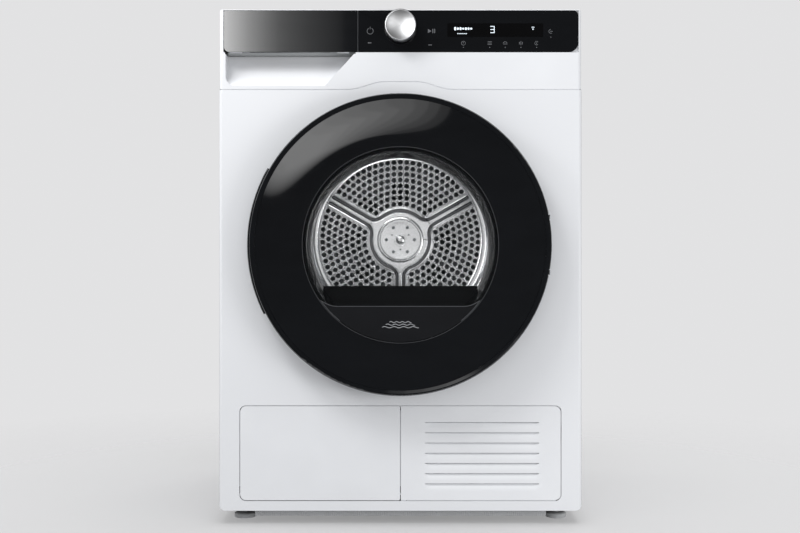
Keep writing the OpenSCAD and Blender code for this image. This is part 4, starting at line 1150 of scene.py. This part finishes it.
@dataclass
class Door:
    """The round door: glossy rim and dish, window, bowl and the printed lower panel."""

    dish_steps: int = 28
    turns: int = 288
    panel_top: float = 101 * MM
    panel_flat: float = 104 * MM
    panel_inset: float = 1.5 * MM
    mark_z: float = 330 * MM
    mark_half: float = 30 * MM

    def __post_init__(self) -> None:
        """Takes the door's places from the frame."""
        low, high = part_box("door_window")
        self.window_r = (high.x - low.x) / 2
        self.z = (low.z + high.z) / 2
        self.window_y = low.y
        dish_low, dish_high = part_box("door_dish")
        self.dish_r = (dish_high.x - dish_low.x) / 2
        self.dish_y = dish_low.y
        self.back_y = dish_high.y

    def dish(self) -> None:
        """The concave ring, turned finely so that it reflects cleanly."""
        inner = self.window_r + 1.0 * MM
        depth = self.window_y - self.dish_y
        shell = 3.0 * MM
        front = []
        for i in range(self.dish_steps + 1):
            u = i / self.dish_steps
            front.append((self.dish_r - 0.3 * MM - (self.dish_r - inner) * u,
                          self.dish_y + depth * math.sin(math.pi / 2 * u)))
        back = [(r, y + shell) for r, y in reversed(front[:-1])]
        ledge = [(inner - 0.6 * MM, self.window_y + 0.5 * MM), (inner - 0.6 * MM, self.window_y + 4.0 * MM),
                 (inner - 7.0 * MM, self.window_y + 4.0 * MM), (inner - 7.0 * MM, self.back_y),
                 (inner + 2.0 * MM, self.back_y)]
        profile = front + ledge + back
        place("door_dish_turned", mesh_from("door_dish_turned", lathe(profile, 0.0, self.z, self.turns)),
              Trim.GLOSS, "door", ("door_dish",), 45.0)

    def window(self) -> None:
        """The window's glass with a rounded edge, and the fine bright line round it."""
        low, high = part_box("door_window")
        r, front, back = self.window_r, low.y, high.y
        mm = MM
        profile = [(0.0, front), (r - 1.2 * mm, front), (r - 0.4 * mm, front + 0.3 * mm),
                   (r, front + 1.1 * mm),
                   (r, back), (0.0, back)]
        place("window_glass", mesh_from("window_glass", lathe(profile, 0.0, self.z, self.turns)),
              Trim.WINDOW, "door", ("door_window",), 40.0)
        line = [(r - 0.2 * mm, front - 0.5 * mm), (r + 0.9 * mm, front - 0.5 * mm),
                (r + 0.9 * mm, front + 0.4 * mm),
                (r - 0.2 * mm, front + 0.4 * mm)]
        place("window_trim_line", mesh_from("window_trim_line", lathe(line, 0.0, self.z, self.turns)),
              Trim.LINE, "door")

    def bowl(self) -> None:
        """The glass bowl behind the window, open at the front and closed by its end."""
        low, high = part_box("door_bowl")
        rim_r, end_y = (high.x - low.x) / 2, high.y
        thick = 4.0 * MM
        front = low.y
        outer = [(rim_r, front), (rim_r, front + 2.6 * MM), (rim_r - 2.6 * MM, front + 3.0 * MM)]
        end_r = 150 * MM
        outer += [(end_r + 4 * MM, end_y - 8 * MM), (end_r + 2.6 * MM, end_y - 4.6 * MM),
                  (end_r - 1.0 * MM, end_y - 2.4 * MM),
                  (end_r * 0.55, end_y - 0.5 * MM), (0.0, end_y)]
        inner = [(0.0, end_y - thick), (end_r * 0.55, end_y - thick - 0.5 * MM),
                 (end_r - 6.0 * MM, end_y - thick - 3.4 * MM),
                 (end_r - 1.6 * MM, end_y - thick - 7.0 * MM), (rim_r - 7.4 * MM, front + 1.0 * MM),
                 (rim_r - 7.0 * MM, front)]
        place("bowl_glass", mesh_from("bowl_glass", lathe(outer + inner, 0.0, self.z, 192)),
              Trim.BOWL, "door", ("door_bowl",), 35.0)

    def lower_panel(self) -> None:
        """The opaque panel across the bottom of the window, with a generic wave mark."""
        r = self.window_r - self.panel_inset
        outline: list[Point] = []
        meet_x = self.panel_flat + 27 * MM
        first = -math.acos(meet_x / r)
        steps = 60
        for i in range(steps + 1):
            a = (-math.pi - first) + (math.pi + 2 * first) * i / steps
            outline.append((r * math.cos(a), self.z + r * math.sin(a)))
        top = self.z - self.panel_top
        for i in range(1, 9):
            u = i / 9
            x = meet_x - (meet_x - self.panel_flat) * u
            end = self.z + r * math.sin(first)
            outline.append((x, top + (end - top) * (1 - u) ** 2))
        outline += [(self.panel_flat * k / 4, top) for k in (4, 2, 0, -2, -4)]
        for i in range(8, 0, -1):
            u = i / 9
            x = meet_x - (meet_x - self.panel_flat) * u
            end = self.z + r * math.sin(first)
            outline.append((-x, top + (end - top) * (1 - u) ** 2))
        front = self.window_y - 0.35 * MM
        place("window_lower_panel",
              mesh_from("window_lower_panel", prism(outline, front, self.window_y + 0.05 * MM, 0.12 * MM)),
              Trim.PANEL, "door")
        edge = [Vector((x, front + 0.12 * MM, z)) for x, z in outline[steps + 1:]]
        arc = [Vector((x, front + 0.12 * MM, z)) for x, z in outline[:steps + 1]]
        rule = join(tube(arc[-10:] + edge + arc[:10], 0.42 * MM, 8))
        place("window_panel_line", mesh_from("window_panel_line", rule), Trim.RULE, "door")
        waves = []
        for k in range(3):
            z = self.mark_z + (k - 1) * 4.2 * MM
            half = self.mark_half - k * 6 * MM
            path = [Vector((half * (2 * i / 40 - 1), front - 0.1 * MM,
                            z + 1.1 * MM * math.sin(i * 0.6))) for i in range(41)]
            waves.append(tube(path, 0.5 * MM, 8))
        place("window_wave_mark", mesh_from("window_wave_mark", join(*waves)), Trim.MARK, "door")

    def build(self) -> None:
        """Makes the whole door."""
        softened("door_rim", Trim.GLOSS, 1.2 * MM, 38.0, 3)
        softened("door_back_ring", Trim.DARK, 0.8 * MM, 38.0)
        softened("door_hook", Trim.BRIGHT, 0.8 * MM)
        softened("door_hinge_arm", Trim.BRIGHT, 0.8 * MM)
        softened("hinge_bracket", Trim.BRIGHT, 0.8 * MM)
        self.dish()
        self.window()
        self.bowl()
        self.lower_panel()
        log.info("door")


# ---------------------------------------------------------------- drum and works


@dataclass
class Drum:
    """The steel drum: wrapper, embossed and perforated back, lifters."""

    hub_r: float = 40 * MM
    hub_ring_r: float = 50 * MM
    first_row: float = 75 * MM
    row_step: float = 12.35 * MM
    rows: int = 8
    pitch: float = 13.0 * MM
    hole_r: float = 5.0 * MM
    hole_steps: int = 12
    spoke_half: float = 15 * MM
    corner: float = 7 * MM
    ring_in: float = 169 * MM
    ring_out: float = 186 * MM
    spoke_angles: tuple[float, ...] = (30.0, 150.0, 270.0)

    def __post_init__(self) -> None:
        """Takes the axis and the back's place from the frame."""
        low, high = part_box("drum_shell")
        self.z = (low.z + high.z) / 2
        self.shell_r = (high.x - low.x) / 2
        self.back_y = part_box("drum_back")[1].y - 1.5 * MM
        self.hub_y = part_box("drum_back")[0].y

    def hole_cells(self) -> Builder:
        """Plates with one round hole each, in rings across the three sectors."""
        steps = self.hole_steps

        def boundary(t: float) -> Point:
            """A point on the square round a cell, for a turn t."""
            c, s = math.cos(t), math.sin(t)
            k = 1 / max(abs(c), abs(s))
            return c * k, s * k

        def build(work: bmesh.types.BMesh) -> None:
            """Adds every cell as a ring of quads between the hole and the cell's edge."""
            for sector in range(3):
                centre = math.radians(self.spoke_angles[0] + 60 + 120 * sector)
                for row in range(self.rows):
                    r = self.first_row + row * self.row_step
                    half = math.radians(60) - (self.spoke_half + 1.5 * MM) / r
                    count = 2 * int((half * r / self.pitch) - 0.5) + 1
                    cell = 2 * half / count
                    for k in range(count):
                        a0 = centre + (k - (count - 1) / 2) * cell
                        outer, inner = [], []
                        for i in range(4 * steps // 2):
                            t = math.tau * i / (4 * steps // 2) + math.pi / 4
                            bx, bz = boundary(t)
                            angle, radius = a0 + bx * cell / 2, r + bz * self.row_step / 2
                            outer.append(self._at(work, angle, radius, 0.0))
                            hx, hz = math.cos(t) * self.hole_r, math.sin(t) * self.hole_r
                            inner.append(self._at(work, a0 + hx / r, r + hz, 0.0))
                        n = len(outer)
                        for i in range(n):
                            j = (i + 1) % n
                            work.faces.new((outer[i], outer[j], inner[j], inner[i]))

        return build

    def _at(self, work: bmesh.types.BMesh, angle: float, radius: float, lift: float) -> bmesh.types.BMVert:
        """A vertex on the drum's back, lifted towards the front."""
        return work.verts.new((radius * math.cos(angle), self.back_y - lift,
                               self.z + radius * math.sin(angle)))

    def field(self) -> None:
        """The perforated sectors, with the sheet's thickness."""
        piece = place("drum_back_field", mesh_from("drum_back_field", self.hole_cells()), Trim.DRUM, "drum")
        sheet = piece.modifiers.new("sheet", "SOLIDIFY")
        sheet.thickness = 0.8 * MM
        sheet.offset = 0.0

    def outside(self, x: float, z: float) -> float:
        """Distance from a point of the back to the nearest perforated sector, which has round corners."""
        r, angle = math.hypot(x, z), math.degrees(math.atan2(z, x))
        nearest = min(abs((angle - a + 180) % 360 - 180) for a in self.spoke_angles)
        across = r * math.sin(math.radians(nearest))
        inner = self.first_row - self.row_step / 2
        dx = max(self.spoke_half + self.corner - across, 0.0)
        dy = max(inner + self.corner - r, 0.0)
        return math.hypot(dx, dy) - self.corner

    def lift(self, away: float) -> float:
        """Height of the emboss at a distance from the sectors: margin, bead, channel, ridge."""
        points = ((0.0, 0.0), (1.5, 0.0), (3.0, 1.6), (4.4, 1.4), (6.0, -2.2), (9.5, -2.4), (11.5, 1.0),
                  (13.0, 2.0), (90.0, 2.0))
        d = max(away, 0.0) / MM
        for (a, low), (b, high) in zip(points, points[1:]):
            if d <= b:
                t = (d - a) / (b - a)
                return (low + (high - low) * t * t * (3 - 2 * t)) * MM
        return points[-1][1] * MM

    def pressed(self, channel: bool) -> Builder:
        """The embossed sheet between the sectors.

        Args:
            channel: whether to make the channels, whose dark colour is a painted reflection, or the bright
                rest.

        Returns:
            A builder.
        """
        inner = self.first_row - self.row_step / 2
        last = self.first_row + (self.rows - 0.5) * self.row_step
        half = self.spoke_half + 2 * MM

        def sheet(work: bmesh.types.BMesh, grid: list[list[Point]]) -> None:
            """Adds the faces of one grid that belong to this part."""
            height = {}
            made: dict[tuple[int, int], bmesh.types.BMVert] = {}
            for i, row in enumerate(grid):
                for k, (x, z) in enumerate(row):
                    height[i, k] = self.outside(x, z)

            def vertex(i: int, k: int) -> bmesh.types.BMVert:
                """The vertex at one point of the grid."""
                if (i, k) not in made:
                    x, z = grid[i][k]
                    made[i, k] = work.verts.new((x, self.back_y - self.lift(height[i, k]), self.z + z))
                return made[i, k]

            for i in range(len(grid) - 1):
                for k in range(len(grid[0]) - 1):
                    ring = ((i, k), (i, k + 1), (i + 1, k + 1), (i + 1, k))
                    away = sum(height[c] for c in ring) / 4 / MM
                    if (5.0 < away < 10.8) == channel and away > -0.6:
                        work.faces.new([vertex(*c) for c in ring])

        def build(work: bmesh.types.BMesh) -> None:
            """Adds the plate round the hub and the three spokes."""
            turns = 240
            start = self.hub_ring_r - 2 * MM
            radii = [start + k * (inner - start) / 24 for k in range(25)]
            sheet(work, [[(r * math.cos(math.tau * k / turns),
                           r * math.sin(math.tau * k / turns)) for k in range(turns + 1)]
                         for r in radii])
            for angle in self.spoke_angles:
                c, w = math.cos(math.radians(angle)), math.sin(math.radians(angle))
                columns = []
                for k in range(61):
                    v = -half + 2 * half * k / 60
                    u0, u1 = math.sqrt(inner ** 2 - v * v), math.sqrt(last ** 2 - v * v)
                    us = [u0 + (u1 - u0) * n / 30 for n in range(31)]
                    columns.append([(u * c - v * w, u * w + v * c) for u in us])
                sheet(work, columns)

        return build

    def plain_back(self) -> None:
        """Spokes and hub plate, pressed from the same sheet as the sectors; the channels get a dark copy of
        the drum's steel, a painted reflection.
        """
        # The channels' dark steel is a painted reflection, not a different metal.
        for name, trim, channel in (("drum_back_spokes", Trim.DRUM, False),
                                    ("drum_back_channels", Trim.CHANNEL, True)):
            piece = place(name, mesh_from(name, self.pressed(channel)), trim, "drum")
            sheet = piece.modifiers.new("sheet", "SOLIDIFY")
            sheet.thickness = 0.6 * MM
            sheet.offset = 0.0

    def rim(self) -> None:
        """The bright pressed ring and the plain outer back."""
        y, m = self.back_y, MM
        last = self.first_row + (self.rows - 0.5) * self.row_step
        profile = [(last - 0.3 * m, y - 0.4 * m), (self.ring_in - 1.5 * m, y - 0.6 * m)]
        for i in range(13):
            a = math.pi * i / 12
            mid, half = (self.ring_in + self.ring_out) / 2, (self.ring_out - self.ring_in) / 2
            profile.append((mid - half * math.cos(a), y - 0.6 * m - 6.0 * m * math.sin(a) ** 0.8))
        profile += [(self.ring_out + 14 * m, y - 0.6 * m), (self.ring_out + 22 * m, y - 3.0 * m),
                    (self.shell_r - 8 * m, y - 3.0 * m), (self.shell_r - 1.6 * m, y - 1.0 * m),
                    (self.shell_r - 1.6 * m, y + 1.2 * m), (last - 0.3 * m, y + 1.2 * m)]
        place("drum_back_rim", mesh_from("drum_back_rim", lathe(profile, 0.0, self.z, 256)), Trim.DRUM,
              "drum", (), 40.0)

    def hub(self) -> None:
        """The hub: a ring, a pierced disc and the boss in its middle."""
        m, y = MM, self.back_y
        front = self.hub_y
        profile = [(0.0, front + 0.2 * m), (8.5 * m, front + 0.2 * m), (9.5 * m, front + 1.0 * m),
                   (10 * m, front + 5.0 * m),
                   (12.5 * m, front + 5.0 * m), (13.2 * m, front + 2.8 * m),
                   (self.hub_r - 3 * m, front + 2.8 * m), (self.hub_r - 1 * m, front + 2.2 * m),
                   (self.hub_r + 1 * m, front + 2.4 * m), (self.hub_r + 3 * m, front + 4.6 * m),
                   (self.hub_ring_r - 3 * m, front + 4.6 * m), (self.hub_ring_r, y),
                   (self.hub_ring_r, y + 1.2 * m), (0.0, y + 1.2 * m)]
        place("drum_hub", mesh_from("drum_hub", lathe(profile, 0.0, self.z, 128)), Trim.DRUM, "drum",
              ("drum_back",), 40.0)
        screws = []
        for k in range(6):
            a = math.radians(60 * k)
            screws.append(self._boss(29 * m * math.cos(a), 29 * m * math.sin(a), 3.4 * m, front + 2.8 * m))
        for k in range(3):
            a = math.radians(30 + 120 * k)
            screws.append(self._boss(20 * m * math.cos(a), 20 * m * math.sin(a), 1.8 * m, front + 2.8 * m))
        place("hub_screws", mesh_from("hub_screws", join(*screws)), Trim.MOTOR, "drum", (), 40.0)

    def _boss(self, x: float, z: float, r: float, y: float) -> Builder:
        """A builder for a small domed screw head."""
        profile = [(0.0, y - 0.9 * MM), (r * 0.6, y - 0.8 * MM), (r, y - 0.1 * MM), (r, y + 0.3 * MM),
                   (0.0, y + 0.3 * MM)]
        return lathe(profile, x, self.z + z, 20)

    def build(self) -> None:
        """Makes the drum."""
        self.field()
        self.plain_back()
        self.rim()
        self.hub()
        softened("drum_lifters", Trim.LIFTER, 4.0 * MM, 35.0, 3)
        dress(Trim.DRUM, "drum_shell")
        dress(Trim.BRIGHT, "drum_axle")
        log.info("drum")


@dataclass
class Works:
    """Everything under the drum and behind the panels: finish and smooth shading."""

    def build(self) -> None:
        """Dresses each remaining node by its slot."""
        by_slot = {}
        for trim in Trim:
            by_slot.setdefault(trim.value.slot, trim)
        shown = {node for node, piece in frame["nodes"].items() if not piece.hide_render}
        rows = [row for row in frame["record"]["subparts"] if row.get("node") in shown]
        slots = {row["node"]: row["material_slot"] for row in rows}
        for node in sorted(shown):
            dress(by_slot[slots[node]], node)
            log.info("dressed %s", node)
        log.info("works: %d nodes", len(shown))


# ---------------------------------------------------------------- studio


@dataclass
class Studio:
    """Floor, lights, surroundings and the camera."""

    eye: tuple[float, float, float] = (-0.0007, -2.2775, 0.4255)
    span: float = 1.3216
    sensor: float = 36.0
    floor_r: float = 3.0
    backdrop: float = 0.762
    ambient: float = 0.585
    gloss: float = 0.05

    def floor(self) -> None:
        """A pale floor that thins out into the surroundings."""

        def build(work: bmesh.types.BMesh) -> None:
            """Adds one wide disc."""
            bmesh.ops.create_circle(work, cap_ends=True, segments=96, radius=self.floor_r)

        disc = bpy.data.objects.new("studio_floor", mesh_from("studio_floor", build))
        bpy.context.scene.collection.objects.link(disc)
        material = bpy.data.materials.new("floor")
        graph = Graph(material)
        px, py, _ = graph.axis_parts()
        away = (px * px + py * py).root()
        graph.set(
            Base_Color=graph.mix(graph.noise(2.0, 2.0), (0.73, 0.73, 0.735), (0.76, 0.76, 0.765)),
            Roughness=0.7,
            Alpha=((away - 0.5) * -0.5 + 0.5).clamp(),
            Specular_IOR_Level=0.2,
        )
        disc.data.materials.append(material)
        disc.visible_glossy = False

    def surroundings(self) -> None:
        """An even pale world, which polished surfaces see much darker."""
        world = bpy.data.worlds.new("studio")
        bpy.context.scene.world = world
        world.use_nodes = True
        nodes, links = world.node_tree.nodes, world.node_tree.links
        nodes.clear()
        out = nodes.new("ShaderNodeOutputWorld")
        path = nodes.new("ShaderNodeLightPath")
        last = None
        for level, ray in ((self.backdrop, None), (self.ambient, "Is Diffuse Ray"),
                           (self.gloss, "Is Glossy Ray")):
            sky = nodes.new("ShaderNodeBackground")
            sky.inputs["Color"].default_value = (level, level, level * 1.01, 1.0)
            if last is None:
                last = sky.outputs[0]
                continue
            mixer = nodes.new("ShaderNodeMixShader")
            links.new(path.outputs[ray], mixer.inputs[0])
            links.new(last, mixer.inputs[1])
            links.new(sky.outputs[0], mixer.inputs[2])
            last = mixer.outputs[0]
        links.new(last, out.inputs["Surface"])

    def lamp(self, name: str, place_at: Sequence[float], aim: Sequence[float], size: Point, radiance: float,
             only: Sequence[str] = (), glossy: bool = False) -> None:
        """A soft rectangular lamp that the camera doesn't see.

        Args:
            name: its name.
            place_at: where it stands.
            aim: the point that it faces.
            size: width and height.
            radiance: how bright its face is.
            only: the pieces that it lights, or none for all.
            glossy: whether polished faces mirror it.
        """
        light = bpy.data.lights.new(name, "AREA")
        light.shape = "RECTANGLE"
        light.size, light.size_y = size
        light.energy = radiance * math.pi * size[0] * size[1]
        lamp = bpy.data.objects.new(name, light)
        bpy.context.scene.collection.objects.link(lamp)
        lamp.location = place_at
        lamp.rotation_mode = "QUATERNION"
        lamp.rotation_quaternion = (Vector(aim) - Vector(place_at)).to_track_quat("-Z", "Y")
        lamp.visible_camera = False
        lamp.visible_glossy = glossy
        if only:
            lit = bpy.data.collections.new(f"{name}_lit")
            for piece in only:
                lit.objects.link(bpy.data.objects[piece])
            lamp.light_linking.receiver_collection = lit

    def cards(self) -> None:
        """Bright cards that the polished pieces mirror."""
        dish = ("door_dish_turned", "door_rim_shell")
        for k in range(9):
            size = 1.55 - 0.15 * k
            at = (0.38, -0.80, 0.02 + 0.01 * k)
            self.lamp(f"dish_card_{k}", at, (0.30, -0.62, 0.4), (0.70 * size, 0.45 * size), 0.34, dish, True)
        tank = ("tank_front_shell",)
        eye_y = self.eye[1]
        ramp = ((-0.62, 13.0), (-0.56, 8.0), (-0.50, 4.4), (-0.44, 2.4), (-0.40, 1.4), (-0.36, 1.0),
                (-0.30, 0.6), (-0.20, 0.2))
        width = 0.02
        for k in range(23):
            x = -0.64 + width * k
            level = ramp[-1][1]
            for (a, low), (b, high) in zip(ramp, ramp[1:]):
                if a <= x <= b:
                    level = low + (high - low) * (x - a) / (b - a)
            level = ramp[0][1] if x < ramp[0][0] else level
            self.lamp(f"tank_card_{k}", (x, eye_y, 1.2), (x, 0.0, 1.2), (width, 0.5), level, tank, True)
        knob = ("knob_turned",)
        self.lamp("knob_card_left", (-0.9, eye_y, 1.5), (0.0, 0.0, 0.82), (0.9, 1.2), 7.5, knob, True)
        self.lamp("knob_card_right", (0.8, eye_y, 1.0), (0.0, 0.0, 0.82), (0.6, 1.0), 2.2, knob, True)
        self.lamp("knob_card_middle", (0.0, eye_y, 1.3), (0.0, 0.0, 0.82), (0.5, 0.9), 1.0, knob, True)
        drum = ("drum_back_field", "drum_back_spokes", "drum_back_channels", "drum_back_rim", "drum_hub",
                "hub_screws", "drum_shell",
                "drum_lifters_shell")
        self.lamp("drum_card_middle", (0.0, -0.19, 0.47), (0.0, 0.2, 0.47), (0.42, 0.42), 1.35, drum, True)
        self.lamp("drum_card_top", (-0.06, -0.12, 0.66), (0.0, 0.24, 0.5), (0.20, 0.05), 9.0, drum, True)
        self.lamp("drum_card_right", (0.19, -0.12, 0.42), (0.0, 0.24, 0.46), (0.05, 0.16), 7.0, drum, True)

    def camera(self) -> None:
        """A level camera straight in front of the dryer."""
        data = bpy.data.cameras.new("front_camera")
        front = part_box("front_panel")[0].y
        data.sensor_width = self.sensor
        data.lens = self.sensor * (front - self.eye[1]) / self.span
        data.dof.use_dof = False
        data.clip_start, data.clip_end = 0.05, 60.0
        piece = bpy.data.objects.new("front_camera", data)
        bpy.context.scene.collection.objects.link(piece)
        piece.location = self.eye
        piece.rotation_euler = (math.radians(90), 0.0, 0.0)
        bpy.context.scene.camera = piece

    def build(self) -> None:
        """Makes the studio."""
        bpy.context.scene.view_settings.view_transform = "Standard"
        self.camera()
        self.floor()
        self.surroundings()
        meshes = [piece.name for piece in bpy.data.objects if piece.type == "MESH"]
        dryer = tuple(name for name in meshes if name != "studio_floor")
        self.lamp("key", (-0.95, -1.1, 2.0), (-0.25, -0.28, 0.78), (0.8, 0.5), 14.5, dryer)
        self.lamp("fill_left", (-1.5, -0.9, 1.45), (-0.3, -0.28, 0.8), (0.5, 0.4), 14.0, dryer)
        self.lamp("fill_low", (1.15, -1.25, 0.3), (0.25, -0.28, 0.3), (0.7, 0.5), 6.0, dryer)
        self.lamp("fill_top", (0.2, -0.6, 2.4), (0.0, 0.0, 0.6), (1.6, 1.2), 1.2)
        self.lamp("fill_back", (0.9, 2.4, 1.7), (0.0, 0.2, 0.5), (1.4, 1.4), 2.2)
        self.lamp("floor_wash", (0.0, -0.3, 3.0), (0.0, -0.3, 0.0), (3.0, 3.0), 1.15, ("studio_floor",))
        self.cards()
        log.info("studio")


def main() -> None:
    """Builds the dryer and its studio."""
    for assembly in (Cabinet, ServicePanel, Controls, Door, Drum, Works, Studio):
        assembly().build()


if __name__ == "__main__":
    main()
